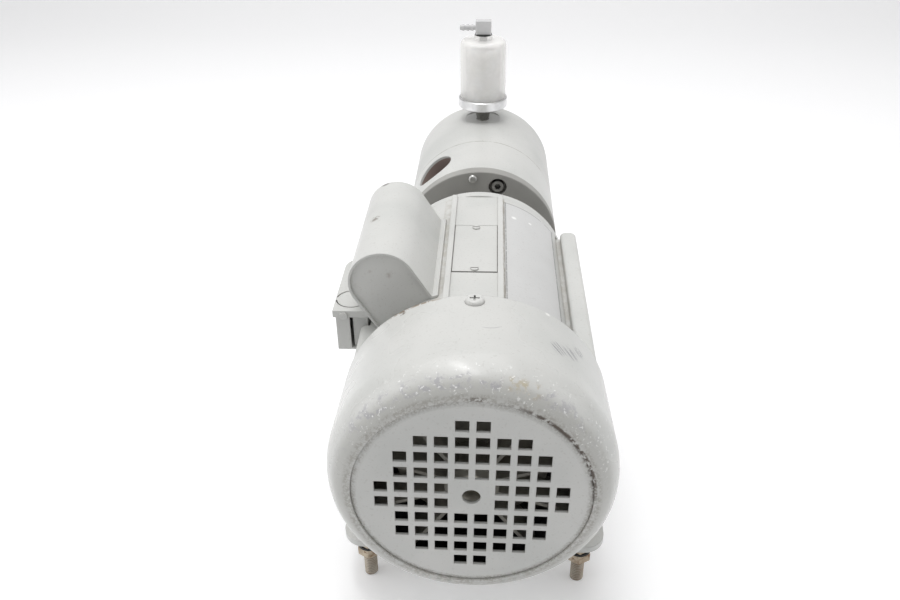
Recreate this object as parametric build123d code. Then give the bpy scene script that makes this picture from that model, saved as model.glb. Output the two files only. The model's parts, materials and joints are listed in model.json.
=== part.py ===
from build123d import *
from math import asin, atan2, cos, degrees, hypot, radians, sin, sqrt
import os

# Diaphragm vacuum pump: a fan-cooled motor on two feet, a lantern housing with a jaw coupling, and a round
# pump end with an inlet filter on top.
# Frame of the files: origin on the floor, midway between the four foot bolts, +Z up, +Y from fan to pump end.
# Every piece is drawn about the shaft line, which is the Y axis here, and save() lifts it to its height.
# Angles about the shaft are in degrees from the top, clockwise as seen from the fan end (towards +X).

# fits
running_gap = 0.05
seat_gap = 0.1
bottom = (Align.CENTER, Align.CENTER, Align.MIN)

# feet and their bolts (frame size 56 base, 5/16 in bolts)
foot_to_shaft = 88.9
bolt_spacing_x = 123.8
bolt_spacing_y = 76.2
foot_thickness = 4.0
foot_margin_x = 13.1
foot_margin_y = 12.5
foot_web_inset = 16.0
foot_corner_r = 12.0
bolt_r = 3.97
bolt_length = 38.1
bolt_chamfer = 0.4
bolt_neck_r = 3.7
bolt_head_flats = 12.7
bolt_head_height = 5.2
nut_height = 6.6
washer_r = 9.0
washer_thickness = 1.6
lock_washer_r = 6.9
lock_washer_thickness = 1.8
lock_washer_split = 0.8

# motor frame, an extruded shell with a pad on the left, a rail on the right and a channel on top
frame_r = 58.0
frame_wall = 2.6
frame_front = -33.0
frame_length = 143.0
pad_reach = 6.0
pad_half_height = 30.0
pad_corner_r = 4.0
rail_reach = 4.6
rail_width = 10.1
rail_half_height = 33.0
rail_end_r = 4.0
rail_edge_r = 2.0
groove_width = 3.1
groove_depth = 5.8
channel_left = -14.0
channel_right = 11.5
channel_depth = 0.8
rib_width = 3.4
rib_rise = 0.7
cover_front = 14.4
cover_length = 55.5
cover_thickness = 1.2
cover_side_gap = 0.3
cover_front_gap = 0.7
cover_screw_inset = 3.2
cover_screw_r = 1.4
cover_screw_head_r = 2.3
cover_screw_head_height = 0.9
cover_screw_slot = 0.7
rating_plate_margin = 13.0
rating_plate_rear_margin = 5.0
rating_plate_left_gap = 0.7
rating_plate_right_gap = 2.5
rating_plate_thickness = 0.4

# motor inside
shaft_r = 7.94
race_bore_r = 8.5
race_outer_r = 20.0
race_width = 12.0
race_set_back = 4.0
pump_race_inset = 6.0
race_ball_count = 7
rotor_shaft_r = 10.0
stator_set_back = 25.0
stator_length = 70.0
stator_bore_r = 31.0
air_gap = 0.5
slot_count = 24
slot_width = 4.6
slot_inner_r = 33.5
core_back = 5.9
end_turn_length = 17.0
end_turn_gap = 0.4
rotor_ring_length = 8.0
rotor_ring_inner_r = 19.0
through_bolt_inset = 6.6
through_bolt_r = 2.4
through_bolt_head_r = 4.0
through_bolt_head_height = 4.0
through_bolt_grip = 7.0
through_bolt_angles = (45, 135, 225, 315)
bell_depth = 31.0
bell_web = 6.0
bell_rim = 5.0
bell_hub_wall = 5.0
bell_shoulder = 8.0
pump_bell_depth = 12.4
shaft_hole_r = 9.5
vent_count = 6
vent_r = 6.5

# fan
fan_inset = 3.3
fan_to_bell = 7.0
fan_blade_width = 20.0
fan_blade_thickness = 1.8
fan_blade_count = 10
fan_hub_r = 13.0
fan_plate_r = 38.0

# fan shroud and its grille plate
shroud_to_fan = 7.6
shroud_overlap = 2.4
shroud_stand_off = 13.2
shroud_rear_stand_off = 12.0
shroud_wall = 2.0
shroud_nose = 20.0
shroud_lip = 5.0
grille_r = 57.3
grille_thickness = 1.5
grille_recess = 0.4
grille_rim = 3.2
grille_hole = 6.35
grille_pitch = 9.525
grille_rows = ((4, 5), (2, 7), (1, 8), (1, 8), (0, 9), (0, 9), (1, 8), (1, 8), (2, 7), (4, 5))
grille_centre_hole_r = 4.4
grille_turn = 0.9
shroud_screw_angles = (0, 120, 240)
shroud_screw_inset = 6.0
shroud_screw_r = 2.5
shroud_screw_head_r = 4.8
shroud_screw_head_height = 2.6
shroud_screw_slot = 0.9
shroud_spot_depth = 0.6
lug_width = 13.0
lug_length = 8.8

# capacitor and its cover, leaning to the left
cover_lean = 31.5
capacitor_angle = -38.3
capacitor_stand_off = 21.0
capacitor_cover_r = 18.2
capacitor_cover_set_back = 24.9
capacitor_cover_length = 89.5
capacitor_cover_wall = 1.3
capacitor_cover_recess = 1.2
capacitor_cover_flange = 3.0
capacitor_gap = 0.2
capacitor_length = 72.0
capacitor_tab = (1.2, 6.4, 6.0)
tab_screw_first = 4.0
tab_screw_pitch = 12.0
tab_margin = 5.0
tab_screw_r = 1.6
tab_screw_head_r = 3.2
tab_screw_head_height = 1.6

# terminal box on the left pad
box_seat_inset = 5.5
box_width = 20.5
box_front = 1.4
box_length = 60.0
box_bottom = 12.4
box_height = 26.2
box_wall = 1.2
box_lip = 4.0
box_corner_r = 11.0
box_seam_inset = 9.0
box_seam_width = 1.5
box_seam_step = 1.6
box_ear_width = 6.0
knockout_r = 8.4
knockout_slit = 0.7
knockout_set_back = 13.0
box_screw_r = 1.5
box_screw_play = 0.35
box_screw_drop = box_wall + box_screw_r + box_screw_play
box_screw_head_r = 2.4
box_screw_head_height = 1.2

# adapter between the motor and the lantern
adapter_length = 34.0
adapter_flange_inset = 1.0
adapter_flange = 8.0
adapter_neck_wall = 8.0
adapter_plate = 8.0
adapter_bore_r = 12.0
flange_screw_inset = 8.5
flange_screw_room = 7.5
flange_screw_r = 3.0
flange_screw_head_r = 5.0
flange_screw_head_height = 6.0
flange_screw_grip = 5.0
tie_screw_inset = 9.8
tie_screw_first_angle = 15.3
tie_screw_count = 4
tie_screw_r = 2.4
tie_screw_head_r = 4.2
tie_screw_head_height = 4.8
tie_screw_recess_r = 6.3
tie_screw_recess = 5.6
tie_screw_grip = 12.0
hex_key_flats = 4.0
hex_key_depth = 2.6
pin_angle = -6.4
pin_inset = 4.8
pin_head_r = 2.95
pin_head_height = 1.9
pin_r = 1.6
pin_depth = 5.0

# lantern housing and coupling
lantern_wall = 16.4
lantern_length = 49.0
edge_chamfer = 0.5
window_r = 15.0
window_angle = -40.0
window_set_back = 25.0
coupling_r = 19.0
coupling_hub_length = 16.0
coupling_gap = 10.0
coupling_set_back = 1.6
jaw_count = 3
jaw_inner_r = 8.5
jaw_angle = 44.0
jaw_play = 0.2

# pump end
crank_set_back = 40.0
pump_tail = 39.0
pump_wall = 5.4
pump_edge_chamfer = 1.5
pump_shaft_r = 6.0
pump_race_outer_r = 14.0
pump_race_width = 8.0
front_wall = 12.0
end_cover_inset = 17.4
end_cover_thickness = 5.0
end_cover_recess = 2.0
end_cover_screw_inset = 4.5
end_cover_screw_r = 1.9
end_cover_screw_head_r = 3.6
end_cover_screw_grip = 8.0
end_boss_r = 16.0
throw = 2.5
eccentric_r = 9.0
eccentric_width = 12.0
bush_outer_r = 11.5
big_end_r = 16.0
big_end_width = 10.0
rod_neck = (12.0, 8.0)
counterweight_r = 16.5
counterweight_set_back = 8.0
counterweight_width = 7.0
counterweight_half_angle = 80.0

# diaphragm and head, stacked upwards in the vertical pocket of the body
pocket_r = 31.0
clamp_ring_bottom = 18.0
clamp_ring_height = 6.0
clamp_ring_bore_r = 21.0
diaphragm_thickness = 2.0
valve_plate_height = 12.0
chamber_r = 20.0
chamber_height = 6.0
clamp_plate_r = 13.0
clamp_plate_thickness = 2.0
clamp_screw_r = 2.5
clamp_screw_head_r = 4.5
clamp_screw_length = 13.0
ring_screw_count = 6
ring_screw_inset = 5.0
ring_screw_r = 1.6
ring_screw_head_r = 2.8
ring_screw_head_height = 1.4
ring_screw_grip = 5.0
valve_offset = 13.0
valve_pocket_r = 6.5
valve_port_r = 3.2
valve_disc_r = 5.6
valve_disc_thickness = 1.0
valve_seat_depth = 3.5
retainer_thickness = 1.0
retainer_bore_r = 3.6
exhaust_r = 4.3
exhaust_length = 12.0
exhaust_passage_r = 3.0
exhaust_rise = 5.8

# inlet filter and elbow
filter_x = -0.2
spot_face_depth = 1.7
spot_face_r = 14.6
nipple_r = 5.1
nipple_depth = 10.0
nipple_top_r = 7.2
nipple_neck_r = 4.6
nipple_height = 11.2
nipple_bore_r = 2.5
base_r = 18.9
base_height = 7.4
base_floor = 3.0
bowl_r = 17.6
bowl_wall = 1.6
bowl_height = 51.6
bowl_corner_r = 4.0
bowl_neck_r = 6.8
bowl_neck_height = 3.4
seal_r = 1.0
element_r = 13.0
element_bore_r = 6.0
element_headroom = 7.0
element_cap = 4.0
elbow_washer_r = 6.4
elbow_washer_thickness = 1.0
elbow_width = 12.0
elbow_depth = 8.0
elbow_height = 9.6
elbow_stem_r = 3.0
elbow_stem_depth = 3.0
elbow_bore_r = 1.3
barb_rise = 4.3
barb_length = 11.8
barb_core_r = 1.8
barb_ridge_r = 2.55
barb_ridges = 3

# worked out along the shaft, from the fan end to the far end
frame_rear = frame_front + frame_length
bell_front = frame_front - bell_depth
fan_front = bell_front - fan_to_bell - fan_blade_width
shroud_front = fan_front - shroud_to_fan
shroud_rear = frame_front + shroud_overlap
fan_race_front = bell_front + race_set_back
stator_front = frame_front + stator_set_back
pump_end_race_front = frame_rear - pump_race_inset
bell_rear = frame_rear + pump_bell_depth
cover_rear = cover_front + cover_length
rating_plate_front = frame_front + rating_plate_margin
rating_plate_rear = frame_rear - rating_plate_rear_margin
capacitor_cover_front = frame_front + capacitor_cover_set_back
capacitor_cover_rear = capacitor_cover_front + capacitor_cover_length
box_rear = box_front + box_length
lantern_front = bell_rear + adapter_length
adapter_rear = lantern_front + adapter_plate
lantern_rear = adapter_rear + lantern_length
window_y = adapter_rear + window_set_back
coupling_front = adapter_rear + coupling_set_back
hub_a_face = coupling_front + coupling_hub_length
hub_b_face = hub_a_face + coupling_gap
hub_b_end = hub_b_face + coupling_hub_length
crank_front = lantern_rear + front_wall
rod_y = lantern_rear + crank_set_back
inlet_y = rod_y + valve_offset
counterweight_front = rod_y + counterweight_set_back
pump_rear = rod_y + pump_tail
end_cover_back = pump_rear - end_cover_recess
end_cover_front = end_cover_back - end_cover_thickness
end_boss_front = end_cover_front - pump_race_width + 1

# worked out across the shaft and upwards
bolt_drop = bolt_length - foot_thickness
shaft_height = foot_to_shaft + bolt_drop
foot_web_x = frame_r - foot_web_inset
upper_nut_z = -foot_to_shaft - washer_thickness
lock_z = upper_nut_z - nut_height
lower_nut_z = lock_z - lock_washer_thickness
thread_top = lower_nut_z - nut_height - seat_gap
pad_x = frame_r + pad_reach
half_chord = sqrt(frame_r**2 - pad_half_height**2)
pad_tab_x = (pad_x + half_chord) / 2
rail_outer_x = frame_r + rail_reach
rail_inner_x = rail_outer_x - rail_width
groove_floor = rail_half_height - groove_depth
frame_bore_r = frame_r - frame_wall
channel_mid = (channel_left + channel_right) / 2
channel_height = frame_r - channel_depth
channel_floor = channel_height - cover_thickness
rib_height = frame_r + rib_rise
through_bolt_circle_r = frame_r - through_bolt_inset
slot_outer_r = through_bolt_circle_r - core_back
end_turn_outer_r = through_bolt_circle_r - through_bolt_r - end_turn_gap
bell_hub_r = race_outer_r + bell_hub_wall
bell_face_r = frame_r - bell_shoulder
vent_circle_r = (bell_hub_r + frame_r - bell_rim) / 2
shroud_r = frame_r + shroud_stand_off
shroud_rear_r = frame_r + shroud_rear_stand_off
fan_r = grille_r - fan_inset
capacitor_x = (frame_r + capacitor_stand_off) * sin(radians(capacitor_angle))
capacitor_z = (frame_r + capacitor_stand_off) * cos(radians(capacitor_angle))
box_seat = box_seat_inset - pad_x
box_left = box_seat - box_width
box_seam_x = box_left + box_seam_inset
box_top = box_bottom + box_height
box_screw_z = box_top - box_screw_drop
adapter_flange_r = bell_face_r - adapter_flange_inset
flange_screw_circle_r = adapter_flange_r - flange_screw_inset
adapter_neck_r = flange_screw_circle_r - flange_screw_room
adapter_neck_bore_r = adapter_neck_r - adapter_neck_wall
diaphragm_z = clamp_ring_bottom + clamp_ring_height
valve_plate_bottom = diaphragm_z + diaphragm_thickness
valve_plate_top = valve_plate_bottom + valve_plate_height
chamber_roof = valve_plate_bottom + chamber_height
hub_diaphragm_z = diaphragm_z - throw
lower_plate_z = hub_diaphragm_z - clamp_plate_thickness
upper_plate_z = hub_diaphragm_z + diaphragm_thickness
ring_screw_circle_r = pocket_r - ring_screw_inset
pump_r = hypot(pocket_r, valve_plate_top) + pump_wall
tie_screw_circle_r = pump_r - tie_screw_inset
pin_x = (pump_r - pin_inset) * sin(radians(pin_angle))
pin_z = (pump_r - pin_inset) * cos(radians(pin_angle))
lantern_bore_r = pump_r - lantern_wall
end_cover_r = pump_r - end_cover_inset
end_cover_screw_circle_r = end_cover_r - end_cover_screw_inset
crank_bore_r = end_cover_screw_circle_r - end_cover_screw_inset
exhaust_z = valve_plate_top + exhaust_rise
spot_face_z = pump_r - spot_face_depth
base_bottom = spot_face_z + nipple_height
bowl_bottom = base_bottom + base_floor + 2 * seal_r
bowl_shoulder_z = base_bottom + bowl_height
element_top = bowl_shoulder_z - element_headroom
neck_top = bowl_shoulder_z + bowl_neck_height
elbow_bottom = neck_top + elbow_washer_thickness


def polar(r, angle):
    return (r * sin(radians(angle)), r * cos(radians(angle)))


def section(y):
    """The plane across the shaft at y, drawn in x and z."""
    return Plane(origin=(0, y, 0), x_dir=(1, 0, 0), z_dir=(0, -1, 0))


def prism(sketch, y0, y1):
    return extrude(section(y0) * sketch, amount=y1 - y0, dir=(0, 1, 0))


def disc(r, y0, y1, x=0, z=0):
    return prism(Pos(x, z) * Circle(r), y0, y1)


def ring(r_out, r_in, y0, y1, x=0, z=0):
    return prism(Pos(x, z) * (Circle(r_out) - Circle(r_in)), y0, y1)


def turned(points):
    """Revolves an outline of (radius, y) points about the shaft line."""
    return revolve(make_face(Polyline(*points, close=True)), Axis.Y)


def upright(r, z0, z1, x=0, y=rod_y):
    return Pos(x, y, (z0 + z1) / 2) * Cylinder(r, z1 - z0)


def upright_turned(points, x=0, y=rod_y):
    """Revolves an outline of (radius, z) points about a vertical line."""
    outline = [(r, 0, z) for r, z in points]
    return Pos(x, y, 0) * revolve(make_face(Polyline(*outline, close=True)), Axis.Z)


def block(x0, x1, y0, y1, z0, z1):
    return Pos((x0 + x1) / 2, (y0 + y1) / 2, (z0 + z1) / 2) * Box(x1 - x0, y1 - y0, z1 - z0)


def sector(r_out, r_in, a0, a1, y0, y1):
    mid = (a0 + a1) / 2
    outline = [
        ThreePointArc(polar(r_out, a0), polar(r_out, mid), polar(r_out, a1)),
        Line(polar(r_out, a1), polar(r_in, a1)),
        ThreePointArc(polar(r_in, a1), polar(r_in, mid), polar(r_in, a0)),
        Line(polar(r_in, a0), polar(r_out, a0)),
    ]
    return prism(make_face(outline), y0, y1)


def on_circle(r, angles):
    return [polar(r, angle) for angle in angles]


def hexagon(flats):
    return RegularPolygon(flats / 2, 6, major_radius=False)


def along_radius(shape, angle, y):
    """Places a shape drawn along +Z so that it points outwards at the given angle and y."""
    return Pos(0, y, 0) * Rot(0, angle, 0) * shape


def save(name, *solids):
    shape = solids[0] if len(solids) == 1 else Compound(children=list(solids))
    export_step(Pos(0, 0, shaft_height) * shape, f"parts/{name}.step")


def shroud_radius(y):
    """Outer radius of the shroud's slightly tapered barrel at y."""
    nose_end = shroud_front + shroud_nose
    share = (y - nose_end) / (shroud_rear - nose_end)
    return shroud_r + share * (shroud_rear_r - shroud_r)


def shroud_inside():
    """The space inside the shroud, which its lugs also reach out to."""
    nose_end = shroud_front + shroud_nose
    lip_back = shroud_front + grille_recess + grille_thickness + shroud_wall
    lip_r = grille_r + seat_gap
    outline = [
        Line((0, lip_back), (lip_r, lip_back)),
        EllipticalCenterArc(
            (lip_r, nose_end), shroud_r - shroud_wall - lip_r, nose_end - lip_back, start_angle=270, arc_size=90
        ),
        Line((shroud_r - shroud_wall, nose_end), (shroud_rear_r - shroud_wall, shroud_rear)),
        Line((shroud_rear_r - shroud_wall, shroud_rear), (0, shroud_rear)),
        Line((0, shroud_rear), (0, lip_back)),
    ]
    return revolve(make_face(outline), Axis.Y)


def fan_shroud():
    nose_end = shroud_front + shroud_nose
    seat_r = grille_r + seat_gap
    outline = [
        Line((0, shroud_front), (seat_r, shroud_front)),
        EllipticalCenterArc((seat_r, nose_end), shroud_r - seat_r, shroud_nose, start_angle=270, arc_size=90),
        Line((shroud_r, nose_end), (shroud_rear_r, shroud_rear)),
        Line((shroud_rear_r, shroud_rear), (0, shroud_rear)),
        Line((0, shroud_rear), (0, shroud_front)),
    ]
    seat_back = shroud_front + grille_recess + grille_thickness
    shell = revolve(make_face(outline), Axis.Y) - shroud_inside()
    shell -= disc(seat_r, shroud_front - 1, seat_back)
    shell -= disc(grille_r - shroud_lip, shroud_front, seat_back + shroud_wall + 1)
    y = shroud_rear - shroud_screw_inset
    spot_z = shroud_radius(y) - shroud_spot_depth
    for angle in shroud_screw_angles:
        hole = Pos(0, 0, frame_r) * Cylinder(shroud_screw_r + seat_gap, shroud_r, align=bottom)
        spot = Pos(0, 0, spot_z) * Cylinder(shroud_screw_head_r + seat_gap, shroud_wall, align=bottom)
        shell -= along_radius(hole + spot, angle, y)
    return shell


def shroud_screws():
    y = shroud_rear - shroud_screw_inset
    seat = shroud_radius(y) - shroud_spot_depth
    screws = []
    for angle in shroud_screw_angles:
        head = Pos(0, 0, seat) * Cylinder(shroud_screw_head_r, shroud_screw_head_height, align=bottom)
        head = fillet(head.edges().sort_by(Axis.Z)[-1], shroud_screw_head_height * 0.7)
        slot_z = seat + shroud_screw_head_height
        for turn in (0, 90):
            cross = Rot(0, 0, turn) * Box(shroud_screw_head_r, shroud_screw_slot, shroud_screw_head_height)
            head -= Pos(0, 0, slot_z) * cross
        shank = Pos(0, 0, frame_r + 2) * Cylinder(shroud_screw_r, seat - frame_r - 2, align=bottom)
        screws.append(along_radius(head + shank, angle, y))
    return screws


def grille_plate():
    """Pressed plate with square holes in rows, the field left blank round the centre hole."""
    front = shroud_front + grille_recess
    blank = Circle(grille_r)
    field = Sketch()
    last = len(grille_rows) - 1
    for row, (first_column, last_column) in enumerate(grille_rows):
        for column in range(first_column, last_column + 1):
            x = (column - last / 2) * grille_pitch
            z = (last / 2 - row) * grille_pitch
            if hypot(x, z) > grille_pitch:
                field += Pos(x, z) * Rectangle(grille_hole, grille_hole)
    holes = Rot(0, 0, -grille_turn) * field + Circle(grille_centre_hole_r)
    plate = prism(blank - holes, front, front + grille_thickness)
    rim = [
        (grille_r + 1, front - 0.1),
        (grille_r - grille_rim, front - 0.1),
        (grille_r - grille_rim, front),
        (grille_r, front + grille_thickness / 2),
        (grille_r + 1, front + grille_thickness / 2),
    ]
    return plate - turned(rim)


def fan():
    blade_back = fan_front + fan_blade_width
    wheel = disc(fan_hub_r, fan_front - 1, blade_back + 3) + disc(fan_plate_r, blade_back - 2, blade_back)
    reach = (fan_r + shaft_r) / 2
    for index in range(fan_blade_count):
        blade = Pos(0, 0, reach) * Box(fan_blade_thickness, fan_blade_width, fan_r - shaft_r)
        turn = index * 360 / fan_blade_count
        wheel += Pos(0, fan_front + fan_blade_width / 2, 0) * Rot(0, turn, 0) * blade
    return wheel - disc(shaft_r, fan_front - 2, blade_back + 4)


def fan_end_bell():
    hub_rear = fan_race_front + race_width
    bell = ring(frame_r, frame_r - bell_rim, bell_front, frame_front)
    bell += ring(frame_r, shaft_hole_r, bell_front, bell_front + bell_web)
    bell += ring(bell_hub_r, shaft_hole_r, bell_front, hub_rear)
    y = shroud_rear - shroud_screw_inset
    for angle in shroud_screw_angles:
        reach = shroud_r - frame_r + 2
        lug = Pos(0, 0, frame_r - 2 + reach / 2) * Box(lug_width, lug_length, reach)
        bell += along_radius(lug, angle, frame_front - 0.2 - lug_length / 2) & shroud_inside()
    bell -= disc(frame_r - bell_rim, bell_front + bell_web, frame_front + 1) - disc(bell_hub_r, bell_front, hub_rear)
    for angle in shroud_screw_angles:
        hole = Pos(0, 0, frame_r + 1) * Cylinder(shroud_screw_r + running_gap, shroud_r, align=bottom)
        bell -= along_radius(hole, angle, y)
    bell -= disc(race_outer_r, fan_race_front, hub_rear + 1)
    for index in range(vent_count):
        x, z = polar(vent_circle_r, (index + 0.5) * 360 / vent_count)
        bell -= disc(vent_r, bell_front - 1, bell_front + bell_web + 1, x, z)
    for x, z in on_circle(through_bolt_circle_r, through_bolt_angles):
        bell += disc(through_bolt_head_r + 1, bell_front, frame_front, x, z) & disc(frame_r, bell_front, frame_front)
        bell -= disc(through_bolt_r + seat_gap, bell_front - 1, frame_front + 1, x, z)
    return bell


def frame_outline():
    """Cross-section of the frame: a round shell with a left pad and a ribbed channel on top."""
    pad = Pos(-pad_x / 2, 0) * Rectangle(pad_x, 2 * pad_half_height)
    pad = fillet(pad.vertices().group_by(Axis.X)[0], pad_corner_r)
    web = Pos(frame_r / 2, 0) * Rectangle(frame_r, 2 * groove_floor)
    height = rib_height - frame_bore_r + 4
    width = channel_right - channel_left + 2 * rib_width
    top = Pos(channel_mid, rib_height - height / 2) * Rectangle(width, height)
    top = fillet(top.vertices().group_by(Axis.Y)[-1], rib_rise)
    channel_width = channel_right - channel_left
    channel = Pos(channel_mid, channel_height + frame_r / 2) * Rectangle(channel_width, frame_r)
    groove = Pos(rail_inner_x - groove_width / 2, 0) * Rectangle(groove_width, 2 * frame_r)
    groove -= Rectangle(2 * frame_r, 2 * groove_floor)
    return Circle(frame_r) + pad + web + top - channel - groove


def side_rail():
    """Rounded bar along the right side, set off from the shell by a groove."""
    bar = block(rail_inner_x, rail_outer_x, frame_front, frame_rear, -rail_half_height, rail_half_height)
    bar = fillet(bar.edges().filter_by(Axis.Z).group_by(Axis.Y)[-1], rail_end_r)
    for face in (bar.faces().sort_by(Axis.Z)[0], bar.faces().sort_by(Axis.Z)[-1]):
        bar = fillet(face.edges(), rail_edge_r)
    return bar - disc(frame_bore_r, frame_front - 1, frame_rear + 1)


def motor_frame():
    shell = prism(frame_outline() - Circle(frame_bore_r), frame_front, frame_rear) + side_rail()
    shell -= block(
        channel_left, channel_right, cover_front - cover_front_gap, cover_rear + cover_side_gap,
        channel_floor, rib_height + 1,
    )
    for y in (cover_front + cover_screw_inset, cover_rear - cover_screw_inset):
        shell -= upright(cover_screw_r, channel_floor - 3, channel_floor + 1, channel_mid, y)
    shell -= ring(2 * frame_r, shroud_rear_r - shroud_wall - 0.8, frame_front - 1, shroud_rear + running_gap)
    seat = block(
        -pad_x - 1, box_seat, box_front - 0.6, box_rear + 0.6, -pad_half_height - 1, pad_half_height + 1
    )
    shell -= seat - disc(frame_r, box_front - 1, box_rear + 1)
    for y in tab_screw_positions():
        shell -= upright(tab_screw_r, pad_half_height - 5, pad_half_height + 1, -pad_tab_x, y)
    return shell


def tab_screw_positions():
    """Two screws through the tab that runs back from the capacitor cover along the pad."""
    first = capacitor_cover_rear + tab_screw_first
    return (first, first + tab_screw_pitch)


def top_cover_plate():
    plate = block(
        channel_left + cover_side_gap, channel_right - cover_side_gap, cover_front, cover_rear,
        channel_floor, channel_height,
    )
    for y in (cover_front + cover_screw_inset, cover_rear - cover_screw_inset):
        plate -= upright(cover_screw_r + seat_gap, channel_floor - 1, channel_height + 1, channel_mid, y)
    return plate


def top_cover_screws():
    screws = []
    for y in (cover_front + cover_screw_inset, cover_rear - cover_screw_inset):
        top = channel_height + cover_screw_head_height
        head = upright(cover_screw_head_r, channel_height, top, channel_mid, y)
        head = chamfer(head.edges().sort_by(Axis.Z)[-1], cover_screw_head_height / 3)
        head -= Pos(channel_mid, y, top) * Box(2 * cover_screw_head_r, cover_screw_slot, cover_screw_head_height)
        screws.append(head + upright(cover_screw_r, frame_bore_r, channel_height, channel_mid, y))
    return screws


def rating_plate():
    left = channel_right + rib_width + rating_plate_left_gap
    right = rail_inner_x - groove_width - rating_plate_right_gap
    start, end = degrees(asin(left / frame_r)), degrees(asin(right / frame_r))
    return sector(
        frame_r + rating_plate_thickness, frame_r, start, end, rating_plate_front, rating_plate_rear,
    )


def pump_end_bell():
    hub_front = pump_end_race_front - 4
    shoulder = frame_r - bell_face_r
    bearing_back = pump_end_race_front + race_width
    outline = [
        Line((frame_r, frame_rear), (frame_r, bell_rear - shoulder)),
        RadiusArc((frame_r, bell_rear - shoulder), (bell_face_r, bell_rear), -shoulder),
        Line((bell_face_r, bell_rear), (shaft_hole_r, bell_rear)),
        Line((shaft_hole_r, bell_rear), (shaft_hole_r, bearing_back)),
        Line((shaft_hole_r, bearing_back), (race_outer_r, bearing_back)),
        Line((race_outer_r, bearing_back), (race_outer_r, hub_front)),
        Line((race_outer_r, hub_front), (bell_hub_r, hub_front)),
        Line((bell_hub_r, hub_front), (bell_hub_r, frame_rear + 2)),
        Line((bell_hub_r, frame_rear + 2), (frame_bore_r - 3, frame_rear + 2)),
        Line((frame_bore_r - 3, frame_rear + 2), (frame_bore_r - 3, frame_rear)),
        Line((frame_bore_r - 3, frame_rear), (frame_r, frame_rear)),
    ]
    bell = revolve(make_face(outline), Axis.Y)
    for x, z in on_circle(through_bolt_circle_r, through_bolt_angles):
        bell -= disc(through_bolt_r, frame_rear - 1, frame_rear + through_bolt_grip, x, z)
    for x, z in on_circle(flange_screw_circle_r, through_bolt_angles):
        bell -= disc(flange_screw_r, bell_rear - flange_screw_grip, bell_rear + 1, x, z)
    return bell


def through_bolts():
    bolts = []
    for x, z in on_circle(through_bolt_circle_r, through_bolt_angles):
        head = disc(through_bolt_head_r, bell_front - through_bolt_head_height, bell_front, x, z)
        bolts.append(head + disc(through_bolt_r, bell_front, frame_rear + through_bolt_grip, x, z))
    return bolts


def slots():
    length = slot_outer_r - slot_inner_r
    one = Pos(0, (slot_inner_r + slot_outer_r) / 2) * Rectangle(slot_width, length)
    pattern = Sketch()
    for index in range(slot_count):
        pattern += Rot(0, 0, index * 360 / slot_count) * one
    return pattern


def stator_core():
    laminations = Circle(frame_bore_r) - Circle(stator_bore_r) - slots()
    for x, z in on_circle(through_bolt_circle_r, through_bolt_angles):
        laminations -= Pos(x, z) * Circle(through_bolt_r + seat_gap)
    return prism(laminations, stator_front, stator_front + stator_length)


def stator_windings():
    rear = stator_front + stator_length
    coils = prism(slots(), stator_front, rear)
    for y0, y1 in ((stator_front - end_turn_length, stator_front), (rear, rear + end_turn_length)):
        coils += ring(end_turn_outer_r, slot_inner_r - 1, y0, y1)
    return coils


def rotor_core():
    rear = stator_front + stator_length
    core = ring(stator_bore_r - air_gap, rotor_shaft_r, stator_front, rear)
    for y0, y1 in ((stator_front - rotor_ring_length, stator_front), (rear, rear + rotor_ring_length)):
        core += ring(stator_bore_r - air_gap - 2, rotor_ring_inner_r, y0, y1)
    return core


def motor_shaft():
    fan_seat = fan_race_front
    inner_start = fan_race_front + race_width
    outline = [
        (0, fan_front - 1),
        (shaft_r, fan_front - 1),
        (shaft_r, fan_seat),
        (race_bore_r, fan_seat),
        (race_bore_r, inner_start),
        (rotor_shaft_r, inner_start),
        (rotor_shaft_r, pump_end_race_front),
        (race_bore_r, pump_end_race_front),
        (race_bore_r, pump_end_race_front + race_width),
        (shaft_r, pump_end_race_front + race_width),
        (shaft_r, hub_a_face),
        (0, hub_a_face),
    ]
    return turned(outline)


def bearing(bore_r, outer_r, width, y):
    """A ball bearing as three solids: outer ring, inner ring and the set of balls."""
    pitch_r = (bore_r + outer_r) / 2
    ball_r = (outer_r - bore_r) * 0.29
    land = ball_r * 0.45
    middle = y + width / 2
    groove = Pos(0, middle, 0) * Rot(90, 0, 0) * Torus(pitch_r, ball_r + running_gap)
    outer = ring(outer_r, pitch_r + land, y, y + width) - groove
    inner = ring(pitch_r - land, bore_r, y, y + width) - groove
    balls = []
    for index in range(race_ball_count):
        x, z = polar(pitch_r, index * 360 / race_ball_count)
        balls.append(Pos(x, middle, z) * Sphere(ball_r))
    return outer, inner, balls


def capacitor_cover_outline(r):
    """U-shaped outline, open towards the motor, leaning to the left."""
    arm = 2 * capacitor_cover_r
    outline = [
        Line((r, -arm), (r, 0)),
        ThreePointArc((r, 0), (0, r), (-r, 0)),
        Line((-r, 0), (-r, -arm)),
        Line((-r, -arm), (r, -arm)),
    ]
    return Pos(capacitor_x, capacitor_z) * Rot(0, 0, cover_lean) * make_face(outline)


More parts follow.
